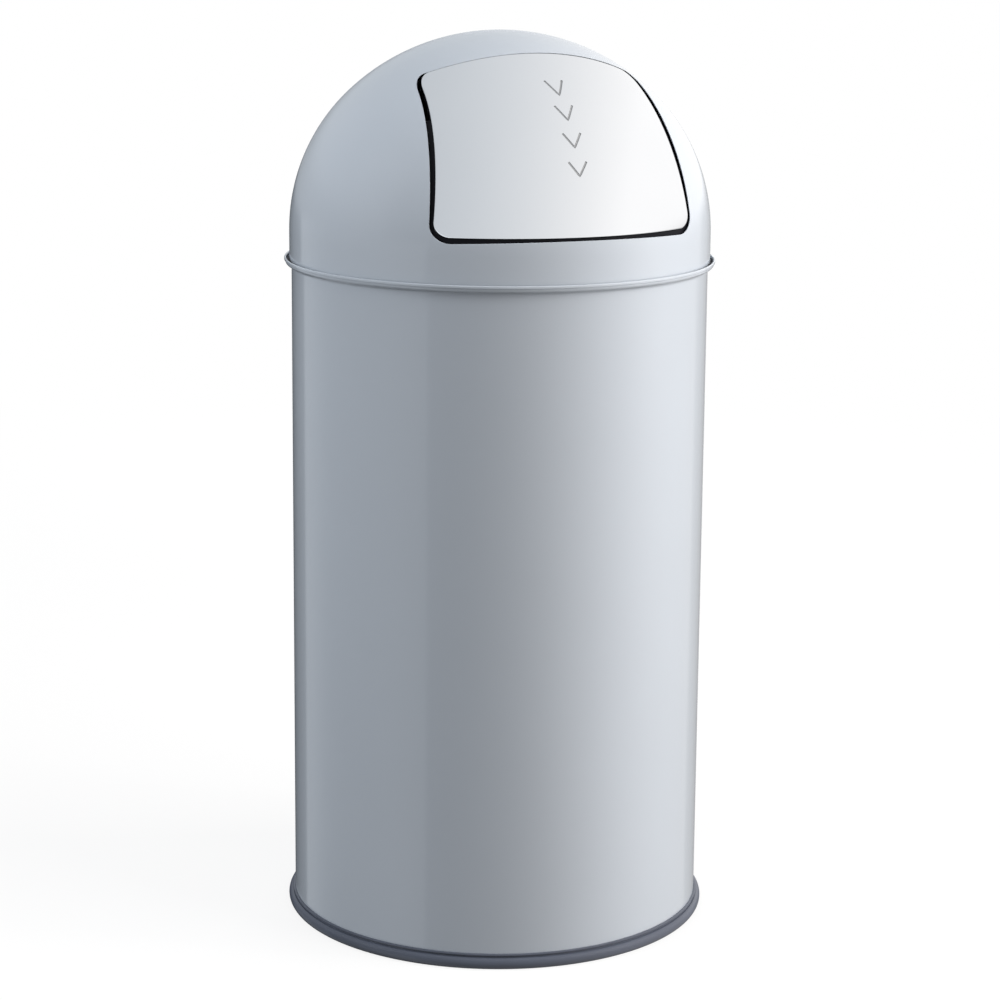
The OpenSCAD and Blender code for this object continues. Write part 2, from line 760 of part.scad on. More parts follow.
// Fixed leg, turns and moving leg as one unbroken tube
module torsion_spring() {
    n = round((spring_end - spring_start) * spring_steps / 360);
    back = [sin(spring_start), -cos(spring_start)];
    front = [-sin(spring_end), cos(spring_end)];
    back_l = spring_reach(spring_start, back, web_r - bracket_t - rest_gap);
    front_l = spring_reach(spring_end, front, crown_r - backing_in_g - rest_gap - 1);
    turns = [for (i = [0:n]) spring_start + (spring_end - spring_start) * i / n];
    path = [for (a = turns) spring_point(a)];
    first = path[0] + back_l * [0, back[0], back[1]];
    last = path[n] + front_l * [0, front[0], front[1]];
    rings = concat([spring_ring(first, spring_start)],
        [for (i = [0:n]) spring_ring(path[i], turns[i])],
        [spring_ring(last, spring_end)]);
    count = len(rings);
    gaps = [for (i = [0:n], j = [i + 5:min(n, i + 3 * spring_steps)]) if (j <= n)
        norm(path[i] - path[j]) - spring_wire_d];
    echo(spring_least_gap = min(gaps));
    color(steel) at_hinge() polyhedron(
        points = [for (ring = rings, p = ring) p],
        faces = concat(
            [for (k = [1:spring_sides - 2]) [0, k, k + 1]],
            [for (i = [0:count - 2], k = [0:spring_sides - 1], half = [0, 1])
                let (a = i * spring_sides + k,
                    b = i * spring_sides + (k + 1) % spring_sides)
                half == 0 ? [a, a + spring_sides, b] : [b, a + spring_sides, b + spring_sides]],
            [for (k = [1:spring_sides - 2]) let (z = (count - 1) * spring_sides)
                [z, z + k + 1, z + k]]));
}

// ---------------------------------------------------------------- flap

// Polished steel skin, flush with the dome
module flap_plate() {
    color(steel) intersection() {
        dome_layer(0, plate_t);
        from_front() flap_outline(0, 0, 0);
    }
}

// Moulded backing: skin, lapping flange, ribs and the two hinge knuckles
module flap_backing() {
    color(black_plastic) difference() {
        union() {
            intersection() {
                dome_layer(backing_g, backing_in_g);
                from_front() skin_outline();
            }
            intersection() {
                dome_layer(flange_g, flange_g + flange_t);
                from_front() flange_outline();
            }
            intersection() {
                dome_layer(backing_in_g - root, backing_in_g + rib_depth);
                from_front() rib_outline();
            }
            for (side = [0, 1]) mirror([side, 0, 0]) hinge_knuckle();
        }
        at_hinge() along_x(-far, far, axle_r + seat);
    }
}

// The flap's full width up to the axle, and a tongue between the bracket's ears above it
module skin_outline() {
    intersection() {
        flap_outline(0, rest_gap, 0);
        union() {
            translate([-far, 0]) square([2 * far, hinge_z - skin_drop]);
            translate([-knuckle_x, 0]) square([2 * knuckle_x, top_z]);
        }
    }
}

// Band behind the edge of the opening, at the sides and the sill only
module flange_outline() {
    intersection() {
        difference() {
            opening_outline(-flange_lap, 0, -flange_lap);
            flap_outline(flange_in, 0, flange_in);
        }
        translate([-far, 0]) square([2 * far, flange_top]);
    }
}

// Border rib, five uprights and three cross ribs
module rib_outline() {
    rib_top = flange_top - rib_inset;
    intersection() {
        flap_outline(rib_inset, rib_top_inset, rib_inset);
        union() {
            difference() {
                translate([-far, 0]) square([2 * far, rib_top]);
                flap_outline(rib_inset + rib_t, 0, rib_inset + rib_t);
            }
            for (i = [-2:2])
                translate([i * rib_pitch - rib_t / 2, 0]) square([rib_t, rib_top]);
            for (i = [1:3])
                translate([-far, sill_z + i * (flange_top - sill_z) / 4])
                    square([2 * far, rib_t]);
        }
    }
}

// Tube round the axle on two arms that grow out of the skin
module hinge_knuckle() {
    start_x = knuckle_x - knuckle_l;
    at_hinge() along_x(start_x, knuckle_x, knuckle_d / 2);
    intersection() {
        dome_solid(backing_in_g - root);
        for (x = [start_x, knuckle_x - arm_t])
            translate([x, 0, 0]) rotate([90, 0, 90]) linear_extrude(arm_t)
                polygon([[hinge_y, hinge_z + knuckle_d / 2 - root],
                    [hinge_y - arm_reach[0], hinge_z + arm_rise[0]],
                    [hinge_y - arm_reach[1], hinge_z + arm_rise[1]],
                    [hinge_y, hinge_z - knuckle_d / 2 + root]]);
    }
}

// Rubber pads on the flange that stop the flap quietly against the dome
module stop_pads() {
    color(rubber_black) intersection() {
        dome_layer(sheet_t + rest_gap, sheet_t + rest_gap + pad_t);
        from_front() difference() {
            for (side = [-1, 1]) {
                translate([side * opening_w / 4 - pad_l / 2, sill_z - 2 * flange_lap])
                    square([pad_l, 2 * flange_lap]);
                translate([(side * opening_w - pad_w) / 2, (sill_z + flange_top - pad_l) / 2])
                    square([pad_w, pad_l]);
            }
            opening_outline(-pad_inset, 0, -pad_inset);
            difference() {
                square([4 * far, 4 * far], center = true);
                opening_outline(-flange_lap, 0, -flange_lap);
            }
        }
    }
}

// ---------------------------------------------------------------- nodes

body_shell();
base_pan();
base_ring();
liner_bucket();
liner_base();
bail_ear(-1);  // bail_ear_left
bail_ear(1);  // bail_ear_right
ear_rivets();
bail_wire();
bail_grip();
lid_dome();
lid_edge_trim();
lid_collar();
hinge_bracket();
hinge_bush(-1);  // hinge_bush_left
hinge_bush(1);  // hinge_bush_right
torsion_spring();
hinge_axle();
axle_clip(-1);  // axle_clip_left
axle_clip(1);  // axle_clip_right
flap_plate();
flap_backing();
stop_pads();
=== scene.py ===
import json
from math import asin, atan2, cos, degrees, hypot, pi, radians, sin, sqrt, tan

import bmesh
import bpy
from bpy.props import FloatProperty, FloatVectorProperty, IntProperty, PointerProperty
from mathutils import Matrix, Vector


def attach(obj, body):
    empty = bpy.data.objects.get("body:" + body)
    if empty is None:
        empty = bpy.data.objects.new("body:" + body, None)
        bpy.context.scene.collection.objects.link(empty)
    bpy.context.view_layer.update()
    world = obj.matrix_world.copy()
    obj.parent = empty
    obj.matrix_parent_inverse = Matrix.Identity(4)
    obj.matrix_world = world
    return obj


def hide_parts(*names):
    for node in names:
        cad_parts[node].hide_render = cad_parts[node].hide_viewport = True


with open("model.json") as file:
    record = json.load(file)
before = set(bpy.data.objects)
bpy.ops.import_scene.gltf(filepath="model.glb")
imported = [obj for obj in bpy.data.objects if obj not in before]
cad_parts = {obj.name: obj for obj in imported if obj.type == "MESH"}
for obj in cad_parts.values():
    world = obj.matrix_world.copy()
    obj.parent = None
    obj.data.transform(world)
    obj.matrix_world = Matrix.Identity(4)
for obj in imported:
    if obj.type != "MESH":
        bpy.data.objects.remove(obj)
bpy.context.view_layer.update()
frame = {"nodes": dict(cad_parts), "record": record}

bl_info = {
    "name": "Push Top Bin",
    "version": (1, 0, 0),
    "blender": (4, 5, 0),
    "location": "View3D > Sidebar > Bin",
    "description": "Dresses the frame of a push top waste bin: coat, steel, plastic and studio",
    "category": "Object",
}

MM = 0.001

VIEW_TURN = -21.50      # degrees that the camera stands round from the front
VIEW_DROP = 11.595      # degrees that it looks down
VIEW_ROLL = 0.480       # degrees that it leans
VIEW_DISTANCE = 2.292   # metres from the bin's axis
VIEW_HEIGHT = 0.863     # metres above the floor
VIEW_SHIFT = (0.0019, -0.05)

SHARP_ANGLE = 35.0      # degrees between two faces from which their edge stays sharp
ON_FORM = 0.985         # cosine within which a face counts as lying on the lid's form
CUT_REACH = 0.4         # metres forward that the cutters of the lid's front run
SEAT = 0.05 * MM        # clearance between pieces that touch
FOOT_Z = 2.55 * MM      # lower edge of the body and of its bottom, in the floor ring
RIBS = 24               # ribs inside the floor ring
EAR_HALF = 12 * MM      # half the width of the bail's ears
MARK_HEIGHTS = (704, 686, 666, 645)     # middles of the chevrons, in millimetres

WARM, COOL = (1.0, 0.970, 0.945), (0.955, 0.975, 1.0)
# Lamps: tint, size, distance, degrees right of the camera, height aimed at, own height
LAMPS = {
    "key": ((1.0, 0.945, 0.895), (1.2, 2.4), 2.3, 87, 0.75, 1.30),
    "near": (WARM, (1.3, 1.8), 2.3, 62, 0.70, 1.42),
    "left": (COOL, (1.3, 1.8), 2.3, -75, 0.72, 1.38),
    "top": (COOL, (2.0, 2.0), 0.6, -15, 0.70, 2.6),
    "back": (COOL, (1.6, 1.4), 2.4, 180, 0.45, 0.90),
}
# Zones of the light tent: part, ramps in degrees round from the camera, change, amount
TENT_ZONES = (
    ("low left", ((55, 95),), "dim", 0.45),
    ("lower left", ((38.5, 39.5), (105, 45)), "lift", 0.55),
    ("lower left", ((105, 130),), "lift", 0.22),
    ("lower left", ((135, 138),), "dim", 0.95),
    ("lower right", ((80, 130),), "dim", 0.45),
    ("lower right", ((138, 142),), "dim", 0.50),
    ("lower", ((170, 179),), "lift", 0.4),
)


# ---------------- settings

def length(name, text, default):
    return FloatProperty(name=name, description=text, default=default * MM, min=0.0,
                         subtype="DISTANCE", unit="LENGTH")


def colour(name, text, default):
    return FloatVectorProperty(name=name, description=text, default=default, min=0.0, max=1.0,
                               size=3, subtype="COLOR")


class BinSizes(bpy.types.PropertyGroup):
    """Sizes that the dressed pieces share with the frame"""
    body_r: length("Body radius", "Outer radius of the steel body", 172.5)
    rim_h: length("Rim height", "Height of the rim above the floor", 557.5)
    sheet_t: length("Sheet", "Thickness of the painted sheet", 0.8)
    hem_h: length("Hem", "Height of the folded hem", 2.9)
    neck_out_r: length("Neck bend out", "Radius of the bend that turns the neck outward", 2.4)
    neck_up_r: length("Neck bend up", "Radius of the bend that turns the neck upright", 2.0)
    ring_h: length("Ring height", "Height of the floor ring", 12.0)
    bulge_r: length("Ring bulge", "Radius of the ring's bulge", 5.2)
    pan_h: length("Pan height", "Height of the pressed bottom", 10.0)
    skirt_r: length("Skirt radius", "Outer radius of the lid's skirt", 174.25)
    dome_z: length("Lid edge", "Height of the lid's lower edge", 554.0)
    skirt_h: length("Skirt height", "Height of the lid's straight skirt", 25.5)
    shoulder_k: length("Shoulder", "Size of the 20, 21, 29 triangle between the arcs", 0.875)
    trim_t: length("Trim wall", "Wall of the rubber trim", 1.0)
    trim_h: length("Trim height", "Height of the trim's legs", 2.0)
    opening_w: length("Opening width", "Width of the opening at its sill", 224.0)
    opening_top_w: length("Opening top", "Width of the opening at its top", 181.0)
    sill_z: length("Sill", "Height of the opening's sill", 590.4)
    top_z: length("Opening's top edge", "Height of the opening's top", 728.75)
    top_arch_r: length("Top arch", "Radius of the arched top edge", 240.0)
    side_arch_r: length("Side arch", "Radius of the opening's bowed sides", 940.0)
    sill_arch_r: length("Sill arch", "Radius of the arched sill", 2150.0)
    top_corner_r: length("Top corners", "Radius of the opening's top corners", 18.0)
    sill_corner_r: length("Sill corners", "Radius of the opening's sill corners", 13.6)
    flap_gap: length("Side gap", "Gap at the sides, beside the sill", 2.4)
    flap_gap_high: length("High side gap", "Gap at the sides, at the top", 3.7)
    flap_gap_top: length("Top gap", "Gap between flap and opening at the top", 0.25)
    flap_lean: length("Flap's lean", "How far the flap's top stands to the left", 1.1)
    flap_gap_sill: length("Sill gap", "Gap between flap and the middle of the sill", 2.9)
    flap_side_arch_r: length("Flap sides", "Radius of the flap's bowed sides", 1760.0)
    flap_sill_arch_r: length("Flap lower edge", "Radius of the flap's lower edge", 35000.0)
    flap_top_corner_r: length("Flap top corners", "Radius of the flap's top corners", 16.0)
    flap_sill_corner_r: length("Flap low corners", "Radius of the flap's lower corners", 10.2)
    flap_edge_r: length("Flap edge", "Radius of the flap's rolled edge", 1.1)
    mark_w: length("Mark width", "Width of one stamped chevron", 15.0)
    mark_h: length("Mark height", "Height of one stamped chevron", 10.5)
    mark_x: length("Mark place", "How far right of the middle the chevrons stand", 2.0)
    liner_z: length("Liner rim", "Height of the liner's rim", 515.0)
    liner_r: length("Liner radius", "Inner radius of the liner", 159.7)
    liner_bead_r: length("Liner bead", "Radius of the liner's wired rim", 4.0)
    liner_low: length("Liner foot", "Height of the liner's foot", 11.1)
    bail_z: length("Bail height", "Height of the bail's pivots", 522.3)
    bail_leg_x: length("Bail reach", "Half the distance between the bail's legs", 152.498)
    bail_back: length("Bail offset", "Centre of the bail's half circle behind its pivots", 9.9)
    turn_steps: IntProperty(name="Steps", description="Steps of a full turn", default=240,
                            min=24, max=360)


class BinFinishes(bpy.types.PropertyGroup):
    """Colours of the finishes"""
    coat: colour("Coat", "Powder coat", (0.458, 0.502, 0.556))
    steel: colour("Steel", "Polished steel", (0.860, 0.870, 0.880))
    ring: colour("Ring", "Floor ring's plastic", (0.072, 0.083, 0.112))
    plastic: colour("Plastic", "Black plastic", (0.0055, 0.0055, 0.0075))
    rubber: colour("Rubber", "Black rubber", (0.010, 0.010, 0.011))
    zinc: colour("Zinc", "Galvanised and plated steel", (0.560, 0.580, 0.600))
    spring: colour("Spring", "Oiled spring steel", (0.260, 0.260, 0.270))
    nylon: colour("Nylon", "Natural nylon", (0.720, 0.690, 0.600))


class BinStudio(bpy.types.PropertyGroup):
    """Light and camera"""
    ambient: FloatProperty(name="Ambient", description="Level of the even light", default=0.04)
    key: FloatProperty(name="Key", description="Power of the lamp on the right", default=61.0)
    near: FloatProperty(name="Near key", description="Power of the lamp right of the camera",
                        default=52.0)
    left: FloatProperty(name="Left", description="Power of the lamp on the left", default=45.0)
    top: FloatProperty(name="Top", description="Power of the lamp above", default=18.0)
    back: FloatProperty(name="Back", description="Power of the lamp behind", default=26.0)
    lens: FloatProperty(name="Lens", description="Focal length in millimetres", default=99.99)


# ---------------- shader nodes

def two_values(operation, swapped=False):
    """A method of Level that adds a Math node of itself and another value"""
    def method(self, other):
        return self.math(operation, *((other, self) if swapped else (self, other)))
    return method


class Level:
    """A number socket; sums with it add Math nodes"""

    def __init__(self, finish, socket):
        self.finish = finish
        self.socket = socket

    def math(self, operation, *values):
        node = self.finish.add("Math", dict(enumerate(values)), operation=operation)
        return Level(self.finish, node.outputs[0])

    __add__, __radd__ = two_values("ADD"), two_values("ADD", True)
    __sub__, __rsub__ = two_values("SUBTRACT"), two_values("SUBTRACT", True)
    __mul__, __rmul__ = two_values("MULTIPLY"), two_values("MULTIPLY", True)
    __truediv__, __rtruediv__ = two_values("DIVIDE"), two_values("DIVIDE", True)
    __pow__, __rpow__ = two_values("POWER"), two_values("POWER", True)
    high, low = two_values("MAXIMUM"), two_values("MINIMUM")

    def __abs__(self):
        return self.math("ABSOLUTE", self)

    def step(self, start, end):
        """0 below start and 1 above end, with a smooth rise between; either way round"""
        node = self.finish.add("MapRange", {"Value": self, "From Min": start, "From Max": end},
                               interpolation_type="SMOOTHSTEP")
        return Level(self.finish, node.outputs[0])


class Finish:
    """One node tree, of a material or of the world"""

    def __init__(self, name, owner=None):
        self.owner = owner or bpy.data.materials.new(name)
        self.owner.use_nodes = True
        self.tree = self.owner.node_tree
        self.tree.nodes.clear()
        self.coordinates = self.add("TexCoord").outputs
        self.place = self.coordinates["Object"]

    def add(self, kind, values=None, **settings):
        """Makes a node: its settings first, then its sockets' values or links"""
        node = self.tree.nodes.new("ShaderNode" + kind)
        for key, value in settings.items():
            setattr(node, key, value)
        for key, value in (values or {}).items():
            socket = node.inputs[key]
            if isinstance(value, Level):
                value = value.socket
            if isinstance(value, bpy.types.NodeSocket):
                self.tree.links.new(value, socket)
            elif socket.type == "RGBA" and len(value) == 3:
                socket.default_value = (*value, 1.0)
            else:
                socket.default_value = value
        return node

    def parts(self, vector):
        node = self.add("SeparateXYZ", {0: vector})
        return [Level(self, out) for out in node.outputs]

    def noise(self, scale, detail=2.0, rough=0.5, vector=None):
        node = self.add("TexNoise", {"Vector": vector or self.place, "Scale": scale,
                                     "Detail": detail, "Roughness": rough})
        return Level(self, node.outputs[0])

    def along(self, vector, direction):
        node = self.add("VectorMath", {0: vector, 1: direction}, operation="DOT_PRODUCT")
        return Level(self, node.outputs["Value"])

    def stretch(self, scale):
        return self.add("Mapping", {"Vector": self.place, "Scale": scale}).outputs[0]

    def blend(self, factor, first, second):
        return self.add("Mix", {0: factor, 6: first, 7: second}, data_type="RGBA").outputs[2]

    def bump(self, height, depth):
        """Normal of a relief of a depth in millimetres"""
        return self.add("Bump", {"Height": height, "Distance": depth * MM}).outputs[0]

    def shown(self):
        """1 for the rays that show a surface: direct, mirrored or seen through something"""
        path = self.add("LightPath").outputs
        direct = Level(self, path["Is Camera Ray"])
        return direct.high(path["Is Glossy Ray"]).high(path["Is Transmission Ray"])

    def glow(self, colour):
        return self.add("Emission", {"Color": colour}).outputs[0]

    def surface(self, values):
        """Principled shader straight to the output"""
        return self.end(self.add("BsdfPrincipled", values).outputs[0])

    def end(self, surface, kind="OutputMaterial"):
        self.add(kind, {"Surface": surface})
        return self.owner


def shade(tint, factor):
    return tuple(min(1.0, c * factor) for c in tint)


def powder_coat(tint):
    """Gloss powder coat: faint cloud in its colour, fine orange peel in its surface"""
    f = Finish("powder_coat")
    cloud = f.noise(9.0, 3.0)
    peel = f.noise(420.0, 2.0) * 0.7 + f.noise(1300.0, 1.0) * 0.3
    speck = f.noise(2600.0, 1.0).step(0.66, 0.78)
    colour = f.blend(cloud, shade(tint, 0.975), shade(tint, 1.025))
    colour = f.blend(speck * 0.12, colour, shade(tint, 1.22))
    return f.surface({
        "Base Color": colour,
        "Roughness": 0.40 + cloud * 0.06,
        "Coat Weight": 0.94 + cloud * 0.06,
        "Coat Roughness": 0.11,
        "Coat IOR": 1.5,
        "Specular IOR Level": 0.35,
        "Normal": f.bump(peel, 0.010),
    })


def polished_steel(tint):
    """Bright polished sheet: hairline polish from edge to edge and a trace of haze"""
    f = Finish("polished_steel")
    hair = f.noise(1.0, 2.0, 0.6, f.stretch((1900.0, 60.0, 14.0)))
    haze = f.noise(14.0, 3.0)
    return f.surface({
        "Base Color": f.blend(haze, shade(tint, 0.985), shade(tint, 1.01)),
        "Metallic": 1.0,
        "Roughness": 0.17 + haze * 0.03 + (hair - 0.5) * 0.05,
        "Normal": f.bump(hair, 0.002),
    })


def stamped_steel(tint):
    """Bottom of the pressed marks: dull, and darkened as painted shade that stands for the shade
    and dark reflection in the grooves
    """
    f = Finish("stamped_steel")
    film = f.noise(900.0, 3.0)
    return f.surface({
        "Base Color": f.blend(film, shade(tint, 0.85), shade(tint, 1.15)),
        "Metallic": 0.7,
        "Roughness": 0.45 + film * 0.1,
        "Normal": f.bump(film, 0.004),
    })


def moulded_plastic(name, tint, rough, shine):
    """Moulded plastic with a fine even grain"""
    f = Finish(name)
    grit = f.noise(1500.0, 2.0)
    cloud = f.noise(30.0, 3.0)
    return f.surface({
        "Base Color": f.blend(cloud, shade(tint, 0.90), shade(tint, 1.12)),
        "Roughness": rough - 0.05 + cloud * 0.10,
        "Specular IOR Level": shine,
        "Normal": f.bump(grit, 0.012),
    })


def soft_rubber(tint):
    """Matt elastomer with a dusty bloom"""
    f = Finish("black_rubber")
    bloom = f.noise(160.0, 4.0, 0.65)
    return f.surface({
        "Base Color": f.blend(bloom.step(0.45, 0.75) * 0.5, tint, shade(tint, 2.2)),
        "Roughness": 0.62 + bloom * 0.2,
        "Specular IOR Level": 0.3,
        "Normal": f.bump(bloom, 0.020),
    })


def galvanised(tint):
    """Hot-dip zinc: flat crystals of slightly different grey"""
    f = Finish("galvanised_steel")
    bend = f.add("TexNoise", {"Vector": f.place, "Scale": 60.0}).outputs[1]
    warp = f.add("VectorMath", {0: f.place, 1: bend}, operation="ADD").outputs[0]
    cells = f.add("TexVoronoi", {"Vector": f.place, "Scale": 95.0})
    fine = f.add("TexVoronoi", {"Vector": warp, "Scale": 40.0})
    tone = f.parts(cells.outputs["Color"])[0] * 0.7 + f.parts(fine.outputs["Color"])[1] * 0.3
    grit = f.noise(700.0, 3.0)
    return f.surface({
        "Base Color": f.blend(tone, shade(tint, 0.78), shade(tint, 1.16)),
        "Metallic": 0.85,
        "Roughness": 0.34 + tone * 0.16,
        "Normal": f.bump(tone * 0.6 + grit * 0.4, 0.030),
    })


def plated_steel(tint):
    """Satin zinc plate with drawing lines and faint stains"""
    f = Finish("zinc_plated_steel")
    stain = f.noise(90.0, 4.0, 0.6)
    grit = f.noise(1.0, vector=f.stretch((2600.0, 900.0, 900.0)))
    return f.surface({
        "Base Color": f.blend(stain, shade(tint, 0.88), shade(tint, 1.18)),
        "Metallic": 1.0,
        "Roughness": 0.30 + stain * 0.12,
        "Normal": f.bump(grit, 0.006),
    })


def spring_wire(tint):
    """Drawn spring wire, dark and slightly oily"""
    f = Finish("spring_steel")
    film = f.noise(240.0, 3.0)
    return f.surface({
        "Base Color": f.blend(film, shade(tint, 0.8), shade(tint, 1.25)),
        "Metallic": 1.0,
        "Roughness": 0.22 + film * 0.14,
        "Normal": f.bump(f.noise(2200.0, 2.0), 0.004),
    })


def make_finishes():
    tints = bpy.context.scene.bin_finishes
    return {
        "powder_coat": powder_coat(tints.coat),
        "polished_steel": polished_steel(tints.steel),
        # the grooves' steel at 0.45 of the steel's brightness is painted shade in the chevrons
        "stamped_steel": stamped_steel(shade(tints.steel, 0.45)),
        "ring_plastic": moulded_plastic("ring_plastic", tints.ring, 0.32, 0.5),
        "black_plastic": moulded_plastic("black_plastic", tints.plastic, 0.45, 0.10),
        "natural_nylon": moulded_plastic("natural_nylon", tints.nylon, 0.38, 0.45),
        "black_rubber": soft_rubber(tints.rubber),
        "galvanised_steel": galvanised(tints.zinc),
        "zinc_plated_steel": plated_steel(shade(tints.zinc, 1.15)),
        "spring_steel": spring_wire(tints.spring),
    }


finishes = {}


def finish(slot):
    """The material of a slot; all are made at the first call"""
    if not finishes:
        finishes.update(make_finishes())
    return finishes[slot]


# ---------------- shapes

def arc(centre, radius, start, end, steps):
    """Points of an arc in the profile plane; angles in degrees"""
    points = []
    for i in range(steps + 1):
        a = radians(start + (end - start) * i / steps)
        points.append((centre[0] + radius * cos(a), centre[1] + radius * sin(a)))
    return points


def rounded(points, steps=4):
    """Polygon of (x, z, corner radius in millimetres) as points, its corners turned into
    arcs"""
    out = []
    count = len(points)
    for i, (x, z, r) in enumerate(points):
        here, r = Vector((x, z)), r * MM
        if not r:
            out.append((x, z))
            continue
        before = (Vector(points[i - 1][:2]) - here).normalized()
        after = (Vector(points[(i + 1) % count][:2]) - here).normalized()
        half = before.angle(after) / 2
        centre = here + (before + after).normalized() * (r / sin(half))
        first = here + before * (r / tan(half))
        last = here + after * (r / tan(half))
        a0 = atan2(*(first - centre).yx)
        a1 = atan2(*(last - centre).yx)
        turn = (a1 - a0 + pi) % (2 * pi) - pi
        out += [(centre.x + r * cos(a0 + turn * k / steps),
                 centre.y + r * sin(a0 + turn * k / steps)) for k in range(steps + 1)]
    return out


def spun(points, axis, centre, steps, closed=False):
    """bmesh of a line of points spun round an axis; closed joins its ends first"""
    bm = bmesh.new()
    verts = [bm.verts.new(point) for point in points]
    for a, b in zip(verts, verts[1:] + verts[:1] * closed):
        bm.edges.new((a, b))
    bmesh.ops.spin(bm, geom=bm.verts[:] + bm.edges[:], axis=axis, cent=centre,
                   angle=2 * pi, steps=steps, use_merge=True)
    bmesh.ops.remove_doubles(bm, verts=bm.verts[:], dist=1e-6)
    bmesh.ops.dissolve_degenerate(bm, edges=bm.edges[:], dist=1e-7)
    bmesh.ops.recalc_face_normals(bm, faces=bm.faces[:])
    return bm


def turned(profile, steps=None):
    """bmesh of a closed (x, z) profile spun round the bin's axis"""
    steps = steps or bpy.context.scene.bin_sizes.turn_steps
    return spun([(x, 0.0, z) for x, z in profile], (0, 0, 1), (0, 0, 0), steps, closed=True)


def pin(line, sign, z):
    """bmesh of an (x, radius) line spun round a crosswise axis at a height"""
    return spun([(sign * x, 0.0, z + r) for x, r in line], (1, 0, 0), (0, 0, z), 36)


def run_out(points, way):
    """bmesh of a flat outline run along a vector"""
    bm = bmesh.new()
    face = bm.faces.new([bm.verts.new(point) for point in points])
    grown = bmesh.ops.extrude_face_region(bm, geom=[face])
    moved = [g for g in grown["geom"] if isinstance(g, bmesh.types.BMVert)]
    bmesh.ops.translate(bm, verts=moved, vec=way)
    bmesh.ops.recalc_face_normals(bm, faces=bm.faces[:])
    return bm


def slab(points, low, high):
    """bmesh of an (x, z) outline run along Y from low to high"""
    return run_out([(x, low, z) for x, z in points], (0, high - low, 0))


def soften(bm, edges, width, segments=2):
    bmesh.ops.bevel(bm, geom=edges, offset=width, segments=segments, profile=0.5,
                    affect="EDGES", material=-1)


def block(size, middle, edge, segments=2):
    """bmesh of a box with rounded edges"""
    bm = bmesh.new()
    bmesh.ops.create_cube(bm, size=1.0)
    bmesh.ops.scale(bm, verts=bm.verts[:], vec=size)
    soften(bm, bm.edges[:], edge, segments)
    bmesh.ops.translate(bm, verts=bm.verts[:], vec=middle)
    return bm


def linked(name, data):
    """An object of some data, in the scene"""
    obj = bpy.data.objects.new(name, data)
    bpy.context.scene.collection.objects.link(obj)
    return obj


def evaluated(obj):
    """A new mesh of an object's curve or modifiers"""
    return bpy.data.meshes.new_from_object(
        obj.evaluated_get(bpy.context.evaluated_depsgraph_get()))


def tube(points, radius, sides, closed=False, swell=None):
    """bmesh of a round tube along points; swell scales its radius point by point"""
    data = bpy.data.curves.new("path", "CURVE")
    data.dimensions = "3D"
    data.bevel_depth = radius
    data.bevel_resolution = sides // 2 - 2
    data.use_fill_caps = not closed
    spline = data.splines.new("POLY")
    spline.points.add(len(points) - 1)
    for i, (target, point) in enumerate(zip(spline.points, points)):
        target.co = (*point, 1.0)
        target.radius = swell[i] if swell else 1.0
    spline.use_cyclic_u = closed
    holder = linked("path", data)
    mesh = evaluated(holder)
    bm = bmesh.new()
    bm.from_mesh(mesh)
    bpy.data.objects.remove(holder)
    bpy.data.curves.remove(data)
    bpy.data.meshes.remove(mesh)
    bmesh.ops.remove_doubles(bm, verts=bm.verts[:], dist=1e-7)
    bmesh.ops.recalc_face_normals(bm, faces=bm.faces[:])
    return bm


def joined(*shapes):
    """One bmesh of several"""
    whole = shapes[0]
    for other in shapes[1:]:
        mesh = bpy.data.meshes.new("part")
        other.to_mesh(mesh)
        other.free()
        whole.from_mesh(mesh)
        bpy.data.meshes.remove(mesh)
    return whole


def as_object(name, bm):
    """Smooth-shaded object of a bmesh, with its steeper edges left sharp"""
    for face in bm.faces:
        face.smooth = True
    for edge in bm.edges:
        edge.smooth = edge.calc_face_angle(0.0) < radians(SHARP_ANGLE)
    mesh = bpy.data.meshes.new(name)
    bm.to_mesh(mesh)
    bm.free()
    return linked(name, mesh)


def piece(name, shape, slot, body, stands_for=()):
    """A finished piece of the bin, from a bmesh or an object, riding on its body"""
    obj = shape if isinstance(shape, bpy.types.Object) else as_object(name, shape)
    obj.name = name
    if not obj.data.materials:
        obj.data.materials.append(finish(slot))
    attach(obj, body)
    if stands_for:
        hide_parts(*stands_for)


def cut(obj, tool, operation):
    """Boolean of two objects, applied; the tool is removed"""
    step = obj.modifiers.new("cut", "BOOLEAN")
    step.operation = operation
    step.solver = "EXACT"
    step.material_mode = "TRANSFER" if tool.data.materials else "INDEX"
    step.object = tool
    mesh = evaluated(obj)
    obj.modifiers.clear()
    old = obj.data
    obj.data = mesh
    bpy.data.meshes.remove(old)
    bpy.data.objects.remove(tool)


# ---------------- the lid's form

def circles_meet(c0, r0, c1, r1):
    """Point where circles about two centres meet, to the right of the way from c0 to c1"""
    way = c1 - c0
    along = (way.length_squared + r0 ** 2 - r1 ** 2) / (2 * way.length)
    across = sqrt(r0 ** 2 - along ** 2)
    way.normalize()
    return c0 + way * along + Vector((way.y, -way.x)) * across


def heading(v):
    return degrees(atan2(v.y, v.x))


